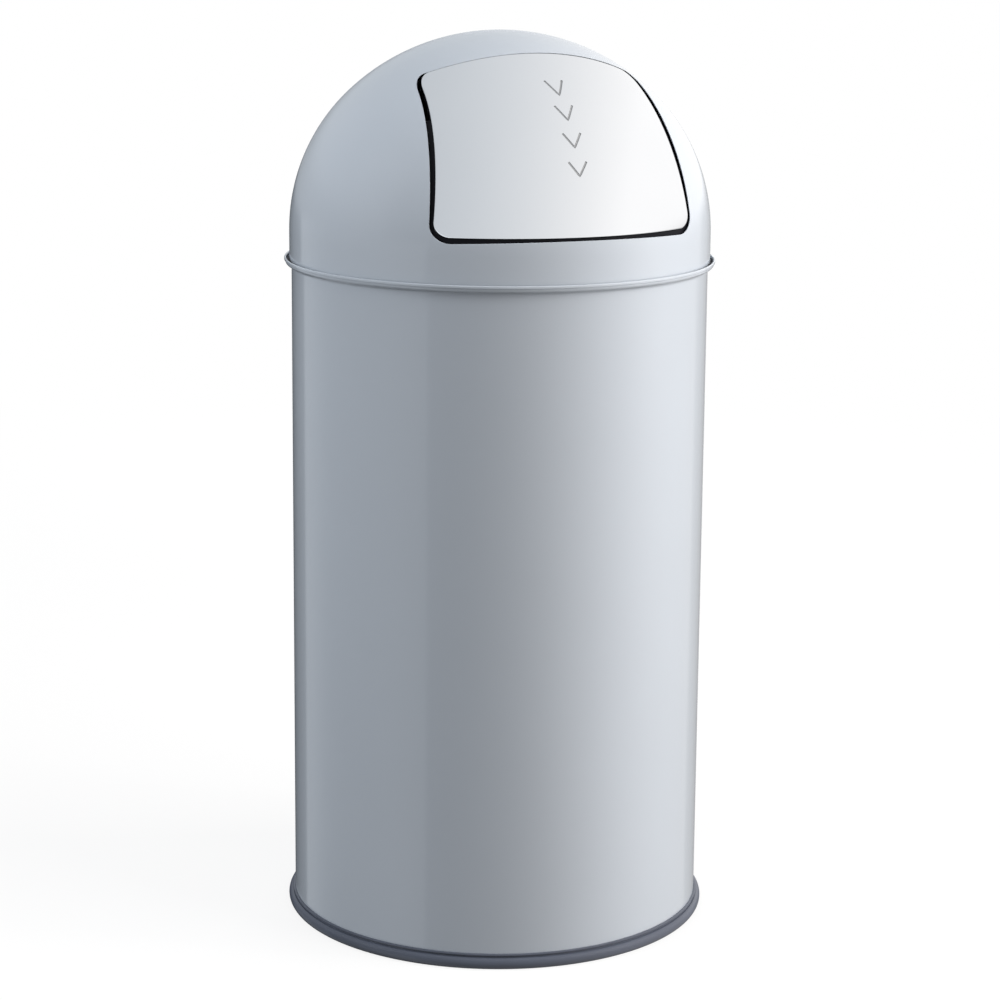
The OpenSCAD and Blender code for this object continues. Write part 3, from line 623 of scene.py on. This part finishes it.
def outline(foot, head, arches, corners, gap=0.0):
    """Closed outline, alike on both sides: sill, sides and top are arches, with round
    corners; foot and head are where the right side would meet the sill and the top. All
    is set in by a gap"""
    fine = 14       # steps of a corner
    sill_r, side_r, top_r = arches
    low_r, high_r = (r - gap for r in corners)
    foot, head = Vector(foot), Vector(head)
    half = (head - foot).length / 2
    out = Vector((head.y - foot.y, foot.x - head.x)) / (2 * half)
    side_c = (foot + head) / 2 - out * sqrt(side_r ** 2 - half ** 2)
    sill_c = Vector((0, foot.y - sill_r))
    top_c = Vector((0, head.y - top_r))
    side_r, sill_r, top_r = side_r - gap, sill_r + gap, top_r - gap
    k1 = circles_meet(sill_c, sill_r + low_r, side_c, side_r - low_r)
    k2 = circles_meet(top_c, top_r - high_r, side_c, side_r - high_r)
    a1, b1 = heading(k1 - sill_c), heading(k1 - side_c)
    b2, a2 = heading(k2 - side_c), heading(k2 - top_c)
    half_way = arc(sill_c, sill_r, 90, a1, 2 * fine)
    half_way += arc(k1, low_r, a1 - 180, b1, fine)[1:]
    half_way += arc(side_c, side_r, b1, b2, 3 * fine)[1:]
    half_way += arc(k2, high_r, b2, a2, fine)[1:]
    half_way += arc(top_c, top_r, a2, 90, 2 * fine)[1:]
    return half_way + [(-x, z) for x, z in half_way[-2:0:-1]]


class DomeForm:
    """Skirt, shoulder and crown as tangent arcs, and the opening's outline on them"""
    across, up, slope = 20, 21, 29      # right triangle between the arcs' centres

    def __init__(self, s):
        self.s = s
        self.skirt_r = s.skirt_r
        self.shoulder_z = s.dome_z + s.skirt_h
        self.shoulder_in = self.across * s.shoulder_k
        self.shoulder_r = s.skirt_r - self.shoulder_in
        self.crown_r = self.shoulder_r + self.slope * s.shoulder_k
        self.crown_z = self.shoulder_z - self.up * s.shoulder_k
        self.break_a = degrees(atan2(self.up, self.across))

    def profile(self, depth, fine):
        """Points from the lower edge to the pole, at a depth below the outer face"""
        points = [(self.skirt_r - depth, self.s.dome_z)]
        points += arc((self.shoulder_in, self.shoulder_z), self.shoulder_r - depth,
                      0, self.break_a, fine)
        points += arc((0, self.crown_z), self.crown_r - depth, self.break_a, 90, fine)[1:]
        points[-1] = (0.0, points[-1][1])
        return points

    def radius(self, z, depth=0.0):
        """Distance of the lid's face from the axis at a height"""
        if z <= self.shoulder_z:
            return self.skirt_r - depth
        reach = self.shoulder_r - depth
        edge = self.shoulder_z + reach * sin(radians(self.break_a))
        if z <= edge:
            return self.shoulder_in + sqrt(max(0.0, reach ** 2 - (z - self.shoulder_z) ** 2))
        return sqrt(max(0.0, (self.crown_r - depth) ** 2 - (z - self.crown_z) ** 2))

    def on_front(self, x, z, depth=0.0):
        """The point of the lid's front face seen at x, z from the front"""
        return Vector((x, -sqrt(max(0.0, self.radius(z, depth) ** 2 - x * x)), z))

    def normal(self, p):
        """Direction out of the lid's face near a point"""
        r = hypot(p.x, p.y)
        if r < 1e-9:
            return Vector((0, 0, 1))
        out, up = 1.0, 0.0
        if p.z > self.shoulder_z:
            out, up = r - self.shoulder_in, p.z - self.shoulder_z
            if degrees(atan2(up, out)) > self.break_a:
                out, up = r, p.z - self.crown_z
        size = hypot(out, up)
        return Vector((p.x / r * out / size, p.y / r * out / size, up / size))

    def opening(self):
        """Outline of the opening in the front elevation"""
        s = self.s
        return outline((s.opening_w / 2, s.sill_z), (s.opening_top_w / 2, s.top_z),
                       (s.sill_arch_r, s.side_arch_r, s.top_arch_r),
                       (s.sill_corner_r, s.top_corner_r))

    def flap(self, gap=0.0):
        """Outline of the flap in the front elevation, set in by a gap"""
        s = self.s
        points = outline((s.opening_w / 2 - s.flap_gap, s.sill_z + s.flap_gap_sill),
                         (s.opening_top_w / 2 - s.flap_gap_high, s.top_z - s.flap_gap_top),
                         (s.flap_sill_arch_r, s.flap_side_arch_r, s.top_arch_r),
                         (s.flap_sill_corner_r, s.flap_top_corner_r), gap)
        lean = s.flap_lean / (s.top_z - s.sill_z)
        return [(x - lean * (z - s.sill_z), z) for x, z in points]

    def rolled(self, edges, radii):
        """Middle line of a rolled edge along an outline, given with one set in a little;
        and the line where the roll leaves the face"""
        middle, meets = [], []
        for (x, z), (x_in, z_in), radius in zip(*edges, radii):
            at = self.on_front(x, z)
            along = (self.on_front(x_in, z_in) - at).normalized()
            meets.append(at + along * radius)
            middle.append(meets[-1] - self.normal(meets[-1]) * radius)
        return middle, [(p.x, p.z) for p in meets]

    def shell(self, fine):
        """bmesh of the lid's sheet"""
        return turned(self.profile(0.0, fine) + self.profile(self.s.sheet_t, fine)[::-1])

    def settle(self, obj):
        """Gives the faces that lie on the lid's form its exact normals"""
        mesh = obj.data
        normals = [Vector(n.vector) for n in mesh.corner_normals]
        for face in mesh.polygons:
            exact = self.normal(face.center)
            turn = face.normal.dot(exact)
            if abs(turn) > ON_FORM:
                sign = 1.0 if turn > 0 else -1.0
                for corner in face.loop_indices:
                    place = mesh.vertices[mesh.loops[corner].vertex_index].co
                    normals[corner] = self.normal(place) * sign
        mesh.normals_split_custom_set(normals)


# ---------------- operators

class BIN_OT_studio(bpy.types.Operator):
    """Floor, light tent, lamps, world and camera"""
    bl_idname = "bin.studio"
    bl_label = "Studio"

    def execute(self, context):
        studio = context.scene.bin_studio
        turn = radians(VIEW_TURN)
        self.front = (sin(turn), -cos(turn), 0.0)
        self.right = (cos(turn), sin(turn), 0.0)
        self.world(context, studio)
        self.floor()
        self.tent()
        for name, settings in LAMPS.items():
            self.lamp(name + "_lamp", getattr(studio, name), *settings)
        self.camera(context, studio)
        context.scene.view_settings.view_transform = "Standard"
        return {"FINISHED"}

    def world(self, context, studio):
        """Faint even light, and white where the surroundings show"""
        world = bpy.data.worlds.new("studio")
        context.scene.world = world
        f = Finish("studio", world)
        height = f.parts(f.coordinates["Generated"])[2]
        even = f.blend(height.step(-0.6, 0.8), shade((0.96, 0.98, 1.0), studio.ambient * 0.72),
                       shade((0.97, 0.98, 1.0), studio.ambient * 1.2))
        white = f.blend(f.shown(), even, (1, 1, 1))
        f.end(f.add("Background", {"Color": white}).outputs[0], "OutputWorld")

    def floor(self):
        """Floor that shows the soft shadow by the bin and is plain white farther off"""
        bm = bmesh.new()
        bmesh.ops.create_circle(bm, cap_ends=True, radius=45.0, segments=64)
        bmesh.ops.translate(bm, verts=bm.verts[:], vec=(0, 0, -0.3 * MM))
        obj = as_object("floor", bm)
        f = Finish("floor_white")
        shown = f.shown()
        pale = f.blend(shown, (0.12, 0.12, 0.125), (0.94, 0.94, 0.94))
        away = f.add("VectorMath", {0: f.place}, operation="LENGTH").outputs["Value"]
        share = shown * (0.84 + Level(f, away).step(0.7, 2.4) * 0.16)
        plain = f.add("BsdfDiffuse", {"Color": pale}).outputs[0]
        f.end(f.add("MixShader", {0: share, 1: plain, 2: f.glow((1, 1, 1))}).outputs[0])
        obj.visible_glossy = False
        self.stage(obj, f.owner)

    def tent(self):
        """Round light tent that only reflections see: pale cloth, warmer and brighter towards
        the right, and dimmed or lifted low down in the zones of TENT_ZONES"""
        bm = bmesh.new()
        bmesh.ops.create_uvsphere(bm, u_segments=48, v_segments=24, radius=14.0)
        obj = as_object("light_tent", bm)
        f = Finish("tent_cloth")
        ray = f.add("VectorMath", {0: f.place}, operation="NORMALIZE").outputs[0]
        side = f.along(ray, self.right)
        round_a = abs(side.math("ARCTAN2", side, f.along(ray, self.front)) * (180 / pi))
        height = f.parts(ray)[2]
        lower, on_left = height.step(0.05, -0.03), side.step(0.0, -0.15)
        parts = {"low left": height.step(0.30, 0.10) * on_left, "lower": lower,
                 "lower left": lower * on_left, "lower right": lower * (1.0 - on_left)}
        # across: how far sideways a mirror faces that sends this ray to the camera
        drop = radians(VIEW_DROP)
        eye = (*(c * cos(drop) for c in self.front[:2]), sin(drop))
        across = side / (2.0 + f.along(ray, eye) * 2.0).high(0.001) ** 0.5
        level = (0.757 + across * 0.46 + across * across * 0.30).low(1.12)
        for part, ramps, change, amount in TENT_ZONES:
            zone = parts[part]
            for start, end in ramps:
                zone = zone * round_a.step(start, end)
            zone = zone * amount
            level = level * (1.0 - zone) if change == "dim" else level + zone
        tint = f.blend(across.step(-0.35, 0.65), (0.955, 1.005, 1.065), (1.01, 1.0, 1.0))
        shine = f.add("VectorMath", {0: tint, "Scale": level}, operation="SCALE").outputs[0]
        f.end(f.glow(shine))
        for rays in ("camera", "diffuse", "transmission", "volume_scatter", "shadow"):
            setattr(obj, "visible_" + rays, False)
        self.stage(obj, f.owner)

    def stage(self, obj, material):
        material.cycles.emission_sampling = "NONE"
        obj.data.materials.append(material)

    def lamp(self, name, power, tint, size, distance, angle, aim_z, z):
        """Soft lamp standing at an angle to the right of the camera, aimed at the bin"""
        light = bpy.data.lights.new(name, "AREA")
        light.color = tint
        light.shape = "RECTANGLE"
        light.size, light.size_y = size
        light.energy = power
        obj = linked(name, light)
        a = radians(VIEW_TURN + angle)
        place = Vector((sin(a) * distance, -cos(a) * distance, z))
        aim = (Vector((0, 0, aim_z)) - place).to_track_quat("-Z", "Y")
        obj.matrix_world = Matrix.Translation(place) @ aim.to_matrix().to_4x4()
        obj.visible_glossy = False

    def camera(self, context, studio):
        data = bpy.data.cameras.new("camera")
        data.sensor_width = 36.0
        data.lens = studio.lens
        data.shift_x, data.shift_y = VIEW_SHIFT
        data.clip_end = 200.0
        obj = linked("camera", data)
        x, y = (c * VIEW_DISTANCE for c in self.front[:2])
        obj.matrix_world = (Matrix.Translation((x, y, VIEW_HEIGHT))
                            @ Matrix.Rotation(radians(VIEW_TURN), 4, "Z")
                            @ Matrix.Rotation(radians(90 - VIEW_DROP), 4, "X")
                            @ Matrix.Rotation(radians(VIEW_ROLL), 4, "Z"))
        context.scene.camera = obj


class BIN_OT_body(bpy.types.Operator):
    """Rolled body with its joggled neck, hem and folded back seam"""
    bl_idname = "bin.body"
    bl_label = "Body"

    def execute(self, context):
        s = context.scene.bin_sizes
        t = s.sheet_t
        neck_x = s.body_r + s.neck_out_r
        rise = s.neck_out_r + t + s.neck_up_r
        neck_z = s.rim_h - s.hem_h - rise
        up_z = neck_z + rise
        hem_x = neck_x + s.neck_up_r
        hem_z = up_z + 0.5 * MM
        points = [(s.body_r - t, FOOT_Z), (s.body_r, FOOT_Z)]
        points += arc((neck_x, neck_z), s.neck_out_r, 180, 90, 8)
        points += arc((neck_x, up_z), s.neck_up_r + t, -90, 0, 8)[1:]
        points += [(hem_x + t, hem_z)]
        points += arc((hem_x + 1.5 * t, hem_z + t / 2), t / 2, -90, 0, 4)
        points += arc((hem_x + t, s.rim_h - t), t, 0, 180, 10)
        points += arc((neck_x, up_z), s.neck_up_r, 0, -90, 8)
        points += arc((neck_x, neck_z), s.neck_out_r + t, 90, 180, 8)[1:]
        bm = joined(turned(points), self.seam(s, neck_z))
        piece("body_wall", bm, "powder_coat", "bin_body", ("body_shell",))
        return {"FINISHED"}

    def seam(self, s, top):
        """Lock seam: a flat fold with one rounded edge and one pressed step"""
        half, stand = 3.5 * MM, 0.7 * MM
        back = s.body_r - 0.4 * MM
        fold = rounded([(-half, back, 0), (half, back, 0),
                        (half, s.body_r + 0.45 * stand, 0.25),
                        (half - 1.1 * MM, s.body_r + stand, 0.4),
                        (-half, s.body_r + stand, 0.3)])
        return run_out([(x, y, s.ring_h + 1 * MM) for x, y in fold],
                       (0, 0, top - s.ring_h - 2 * MM))


class BIN_OT_base(bpy.types.Operator):
    """Moulded floor ring and pressed bottom"""
    bl_idname = "bin.base"
    bl_label = "Base"

    def execute(self, context):
        s = context.scene.bin_sizes
        outer, inner = s.body_r + SEAT, s.body_r - 1.7 * MM
        lip, neck, leg = outer + 2 * MM, outer + 1 * MM, inner - 1.5 * MM
        groove_z = s.ring_h - 2.9 * MM
        lip_z, ledge_z, leg_z = groove_z + 1.3 * MM, 2.5 * MM, 8 * MM
        centre = (s.body_r + 5.5 * MM - s.bulge_r, groove_z - 4.7 * MM)
        low_a = degrees(asin(-centre[1] / s.bulge_r))
        high_a = degrees(asin((groove_z - centre[1]) / s.bulge_r))
        profile = [(leg + 0.3 * MM, 0.0),
                   (centre[0] + s.bulge_r * cos(radians(low_a)), 0.0)]
        profile += arc(centre, s.bulge_r, low_a, high_a - 4, 18)[1:]
        profile += rounded([(outer + 2.3 * MM, groove_z, 0), (neck, groove_z, 0.35),
                            (neck, lip_z, 0.35), (lip, lip_z, 0.4),
                            (lip, s.ring_h, 0.7), (outer, s.ring_h, 0.2),
                            (outer, ledge_z, 0.3), (inner, ledge_z, 0.3),
                            (inner, leg_z, 0.3), (leg, leg_z, 0.5),
                            (leg, 0.3 * MM, 0)])
        ribs = block((2.75 * MM, 1.8 * MM, 7 * MM), (leg - 0.6 * MM, 0, 3.55 * MM), 0.3 * MM)
        bmesh.ops.spin(ribs, geom=ribs.verts[:] + ribs.edges[:] + ribs.faces[:], axis=(0, 0, 1),
                       cent=(0, 0, 0), angle=2 * pi * (RIBS - 1) / RIBS, steps=RIBS - 1,
                       use_duplicate=True)
        piece("floor_ring", joined(turned(profile), ribs), "ring_plastic", "bin_body",
              ("base_ring",))
        self.pan(s)
        return {"FINISHED"}

    def pan(self, s):
        """Pressed bottom: a leg all round, a flat border and a raised middle"""
        t = s.sheet_t
        leg = s.body_r - t - SEAT
        top = s.pan_h + t
        border, middle, rise = 115 * MM, 110 * MM, 2.5 * MM
        profile = rounded([(leg, FOOT_Z, 0), (leg, top, 1.6), (border, top, 2),
                           (middle, top + rise, 2), (0, top + rise, 0),
                           (0, s.pan_h + rise, 0), (middle, s.pan_h + rise, 2),
                           (border, s.pan_h, 2), (leg - t, s.pan_h, 0.8),
                           (leg - t, FOOT_Z, 0)])
        piece("pressed_bottom", turned(profile, 160), "powder_coat", "bin_body", ("base_pan",))


class BIN_OT_lid(bpy.types.Operator):
    """Domed lid with its opening, rubber edging and locating collar"""
    bl_idname = "bin.lid"
    bl_label = "Lid"

    def execute(self, context):
        s = context.scene.bin_sizes
        form = DomeForm(s)
        dome = as_object("dome", form.shell(26))
        cut(dome, as_object("hole", slab(form.opening(), -CUT_REACH, 0.0)), "DIFFERENCE")
        piece("dome", dome, "powder_coat", "lid", ("lid_dome",))
        form.settle(dome)
        half = s.sheet_t / 2
        edge = [form.on_front(x, z, half) for x, z in form.opening()]
        piece("opening_edge", tube(edge, half - 0.01 * MM, 12, closed=True), "powder_coat",
              "lid")
        self.trim(s)
        self.collar(s)
        return {"FINISHED"}

    # Black rubber edging on the lid's lower edge: a seat for the lid, and its black also stands in
    # for the shade in the narrow gap under the hem, as painted shade
    def trim(self, s):
        t = s.trim_t
        inner, outer = s.skirt_r - s.sheet_t - SEAT - t, s.skirt_r + SEAT + t
        low, high, floor = s.dome_z - SEAT - t, s.dome_z + s.trim_h, s.dome_z - SEAT
        profile = rounded([(inner, low, 0.6), (outer, low, 0.7),
                           (outer, high, 0.45), (outer - t, high, 0.15),
                           (outer - t, floor, 0.1), (inner + t, floor, 0.1),
                           (inner + t, high, 0.15), (inner, high, 0.45)])
        piece("rubber_edging", turned(profile), "black_rubber", "lid", ("lid_edge_trim",))

    def collar(self, s):
        t = s.sheet_t
        band, neck = s.skirt_r - t - SEAT, s.body_r - t - 0.6 * MM
        low = s.dome_z - 22 * MM
        step_low = s.dome_z + s.trim_h + 2 * MM
        step_top = step_low + 5 * MM
        top = step_top + 12 * MM
        profile = rounded([(neck - t, low, 0.3), (neck, low, 0.3),
                           (neck, step_low, 3), (band, step_top, 3),
                           (band, top, 0.25), (band - t, top, 0.25),
                           (band - t, step_top + 0.3 * MM, 3),
                           (neck - t, step_low + 0.3 * MM, 3)])
        piece("locating_collar", turned(profile), "powder_coat", "lid", ("lid_collar",))


class BIN_OT_flap(bpy.types.Operator):
    """Polished flap with its four stamped chevrons"""
    bl_idname = "bin.flap"
    bl_label = "Flap"

    def execute(self, context):
        s = context.scene.bin_sizes
        form = DomeForm(s)
        rim = form.flap()
        # the rolled edge thins to 0.4 of its radius towards the top, where the gap is narrow
        swell = [1.0 - 0.6 * min(1.0, max(0.0, (z - s.top_z) / (16 * MM) + 1.1)) for x, z in rim]
        middle, meets = form.rolled((rim, form.flap(0.5 * MM)), [s.flap_edge_r * k for k in swell])
        plate = as_object("plate", form.shell(60))
        plate.data.materials.append(finish("polished_steel"))
        cut(plate, as_object("blank", slab(meets, -CUT_REACH, 0.0)), "INTERSECT")
        for z in MARK_HEIGHTS:
            stamp = as_object("stamp", self.chevron(s, form, z * MM))
            # the groove bottoms take the darkened steel: painted shade in the grooves
            stamp.data.materials.append(finish("stamped_steel"))
            cut(plate, stamp, "DIFFERENCE")
        piece("flap_skin", plate, "polished_steel", "flap", ("flap_plate",))
        form.settle(plate)
        roll = tube(middle, s.flap_edge_r, 20, closed=True, swell=swell)
        piece("flap_edge", roll, "polished_steel", "flap")
        return {"FINISHED"}

    def chevron(self, s, form, z):
        """Tube that cuts a shallow round-bottomed groove: its middle runs 0.50 mm above the
        lid's face, along the chevron's two strokes"""
        half_w, half_h = s.mark_w / 2, s.mark_h / 2
        ends = [Vector((s.mark_x - half_w, z + half_h)), Vector((s.mark_x, z - half_h)),
                Vector((s.mark_x + half_w, z + half_h))]
        points = []
        for a, b in zip(ends, ends[1:]):
            for i in range(9):
                p = a.lerp(b, i / 8)
                on = form.on_front(p.x, p.y)
                points.append(on + form.normal(on) * 0.50 * MM)
        del points[9]       # the tip, which both strokes hold
        return tube(points, 1.05 * MM, 14)


def ear_face(s):
    """Distance from the middle to the back of an ear, whose edges touch the round wall"""
    return sqrt((s.liner_r - SEAT) ** 2 - EAR_HALF ** 2)


class BIN_OT_liner(bpy.types.Operator):
    """Galvanised liner: swaged wall with a wired rim, pressed bottom, ears and rivets"""
    bl_idname = "bin.liner"
    bl_label = "Liner"

    def execute(self, context):
        s = context.scene.bin_sizes
        t, r = s.sheet_t, s.liner_r
        curl = 1.6 * MM
        bead = (r + s.liner_bead_r, s.liner_z - s.liner_bead_r)
        foot = (r + t - curl, s.liner_low + curl)
        profile = arc(foot, curl, 115, 360, 22)
        profile += self.swaged(r + t)
        profile += arc(bead, s.liner_bead_r, 222, 540, 30)
        profile += self.swaged(r)[::-1]
        bucket = joined(turned(profile), self.seam(r + t, s))
        piece("liner_wall", bucket, "galvanised_steel", "liner", ("liner_bucket",))
        self.bottom(s)
        self.ears(s)
        return {"FINISHED"}

    def swaged(self, radius):
        """Points up the wall, with a shallow round bead pressed out at four heights"""
        points = []
        for z in (90 * MM, 104 * MM, 430 * MM, 444 * MM):
            points += [(radius + 1.0 * MM * sin(pi * i / 12) ** 2,
                        z + (i - 6) * 0.75 * MM) for i in range(13)]
        return points

    def seam(self, radius, s):
        """Flat lock seam up the back of the wall"""
        low, high = s.liner_low + 4 * MM, s.liner_z - 9.5 * MM
        return block((7 * MM, 1.9 * MM, high - low), (0, radius + 0.25 * MM, (low + high) / 2),
                     0.35 * MM, 3)

    def bottom(self, s):
        t = s.sheet_t
        r = s.liner_r - SEAT
        floor_z = s.liner_low + 6 * MM
        leg_z, lip_z, dish_z = s.liner_low + 3.25 * MM, floor_z + 3 * MM, floor_z - 1 * MM
        flat, dish = r - 27 * MM, r - 30 * MM
        profile = rounded([(0, dish_z, 0), (dish, dish_z, 3), (flat, floor_z, 3),
                           (r - t, floor_z, 0.15), (r - t, leg_z, 0.3),
                           (r, leg_z, 0.3), (r, lip_z, 0.3),
                           (r - t, lip_z, 0.3), (r - t, floor_z + t, 0.5),
                           (flat, floor_z + t, 3), (dish, dish_z + t, 3),
                           (0, dish_z + t, 0)])
        piece("liner_bottom", turned(profile, 160), "galvanised_steel", "liner",
              ("liner_base",))

    def ears(self, s):
        half, low, thick = EAR_HALF, s.liner_z - 44 * MM, 1.5 * MM
        head, neck = half - 2 * MM, s.liner_z - 6 * MM
        face_x = ear_face(s)
        side = arc((0, s.bail_z), head, 0, 180, 28)
        side += rounded([(-head, neck + 2 * MM, 0), (-half, neck - 2 * MM, 3),
                         (-half, low, 6), (half, low, 6),
                         (half, neck - 2 * MM, 3), (head, neck + 2 * MM, 0)], 8)
        studs = []
        for sign, name in ((-1, "left"), (1, "right")):
            bm = slab(side, 0, thick)
            sharp = [e for e in bm.edges if e.calc_face_angle(0.0) > 1.2]
            soften(bm, sharp, 0.3 * MM)
            turn = Matrix.Rotation(radians(90), 4, "Z")
            shift = Matrix.Translation((face_x if sign > 0 else -face_x + thick, 0, 0))
            bmesh.ops.transform(bm, matrix=shift @ turn, verts=bm.verts[:])
            ear = as_object("ear_" + name, bm)
            reach = [Vector((sign * (face_x + d * MM), 0, s.bail_z)) for d in (-6, 6)]
            cut(ear, as_object("bore", tube(reach, 2.55 * MM, 32)), "DIFFERENCE")
            piece("bail_ear_%s_plate" % name, ear, "zinc_plated_steel", "liner",
                  ("bail_ear_" + name,))
            for drop in (16 * MM, 34 * MM):
                studs.append(self.rivet(sign, face_x - thick, s, s.liner_z - drop))
        piece("rivet_heads", joined(*studs), "zinc_plated_steel", "liner", ("ear_rivets",))

    def rivet(self, sign, inner, s, z):
        """Domed head inside, shank, and flat head outside the wall"""
        low, high = inner - SEAT, s.liner_r + s.sheet_t + SEAT
        head, crown = 3.6 * MM, 1.2 * MM
        line = [(low - crown, 0)]
        line += [(low - crown * cos(radians(a)), head * sin(radians(a)))
                 for a in range(15, 91, 15)]
        line += [(low, 2 * MM), (high, 2 * MM), (high, head), (high + 0.9 * MM, head),
                 (high + crown, head - 0.4 * MM), (high + crown, 0)]
        return pin(line, sign, z)


class BIN_OT_bail(bpy.types.Operator):
    """Bent wire bail with turned-out ends, and its ribbed grip"""
    bl_idname = "bin.bail"
    bl_label = "Bail"

    def execute(self, context):
        s = context.scene.bin_sizes
        r, bend = 2.5 * MM, 4.9 * MM
        pin_x = ear_face(s) + 0.3 * MM
        end = [(pin_x + 1.5 * MM, 0), (s.bail_leg_x + bend, 0)]
        end += [(s.bail_leg_x + bend - bend * sin(a * pi / 16),
                 bend - bend * cos(a * pi / 16)) for a in range(1, 9)]
        half = [(x, y + s.bail_back) for x, y in arc((0, 0), s.bail_leg_x, 0, 180, 120)]
        path = end + half + [(-x, y) for x, y in end[::-1]]
        wire = tube([Vector((x, y, s.bail_z)) for x, y in path], r, 24)
        head = [(pin_x + 1.55 * MM, 0.0), (pin_x + 1.55 * MM, r + 1.0 * MM),
                (pin_x + 1.1 * MM, r + 1.5 * MM), (pin_x, r + 1.5 * MM), (pin_x, 0.5 * MM)]
        wire = joined(wire, pin(head, -1, s.bail_z), pin(head, 1, s.bail_z))
        piece("wire", wire, "zinc_plated_steel", "bail", ("bail_wire",))
        self.grip(s)
        return {"FINISHED"}

    def grip(self, s):
        """Tube with a collar at each end and soft finger rings between"""
        points, swell = [], []
        steps = 240
        for i in range(steps + 1):
            a = radians(70 + 40 * i / steps)
            points.append(Vector((s.bail_leg_x * cos(a),
                                  s.bail_back + s.bail_leg_x * sin(a), s.bail_z)))
            ring = abs((i / steps * 6 + 0.5) % 1.0 - 0.5) * 2
            at_end = min(i, steps - i) / steps
            height = max(0.0, 1.0 - max(0.0, ring - 0.06) * 7.0)
            height = height * height * (3 - 2 * height)
            close = min(1.0, (at_end + 0.0008) / 0.006) ** 0.5
            swell.append((6.0 + height) / 7.0 * (0.62 + 0.38 * close))
        piece("ribbed_grip", tube(points, 7.0 * MM, 28, swell=swell), "black_plastic", "bail",
              ("bail_grip",))


class BIN_OT_fittings(bpy.types.Operator):
    """Finishes on the frame's own nodes that keep their CAD shape"""
    bl_idname = "bin.fittings"
    bl_label = "Fittings"

    def execute(self, context):
        slots = {row["node"]: row["material_slot"] for row in frame["record"]["subparts"]}
        for node, obj in frame["nodes"].items():
            material = finish(slots[node])
            if obj.data.materials:
                for i in range(len(obj.data.materials)):
                    obj.data.materials[i] = material
            else:
                obj.data.materials.append(material)
        return {"FINISHED"}


class BIN_PT_panel(bpy.types.Panel):
    """Sizes, colours and pieces of the bin"""
    bl_label = "Push Top Bin"
    bl_space_type = "VIEW_3D"
    bl_region_type = "UI"
    bl_category = "Bin"

    def draw(self, context):
        for kind in OPERATORS:
            self.layout.operator(kind.bl_idname)
        for group in ("bin_sizes", "bin_finishes", "bin_studio"):
            settings = getattr(context.scene, group)
            box = self.layout.box()
            for key in settings.__annotations__:
                box.prop(settings, key)


GROUPS = {"bin_sizes": BinSizes, "bin_finishes": BinFinishes, "bin_studio": BinStudio}
OPERATORS = (BIN_OT_studio, BIN_OT_fittings, BIN_OT_body, BIN_OT_base, BIN_OT_lid, BIN_OT_flap,
             BIN_OT_liner, BIN_OT_bail)


def register():
    for kind in (*GROUPS.values(), *OPERATORS, BIN_PT_panel):
        bpy.utils.register_class(kind)
    for name, kind in GROUPS.items():
        setattr(bpy.types.Scene, name, PointerProperty(type=kind))


def unregister():
    for name in GROUPS:
        delattr(bpy.types.Scene, name)
    for kind in (BIN_PT_panel, *reversed(OPERATORS), *reversed(list(GROUPS.values()))):
        bpy.utils.unregister_class(kind)


def main():
    register()
    bpy.ops.bin.studio()
    bpy.ops.bin.fittings()
    bpy.ops.bin.body()
    bpy.ops.bin.base()
    bpy.ops.bin.lid()
    bpy.ops.bin.flap()
    bpy.ops.bin.liner()
    bpy.ops.bin.bail()


if __name__ == "__main__":
    main()
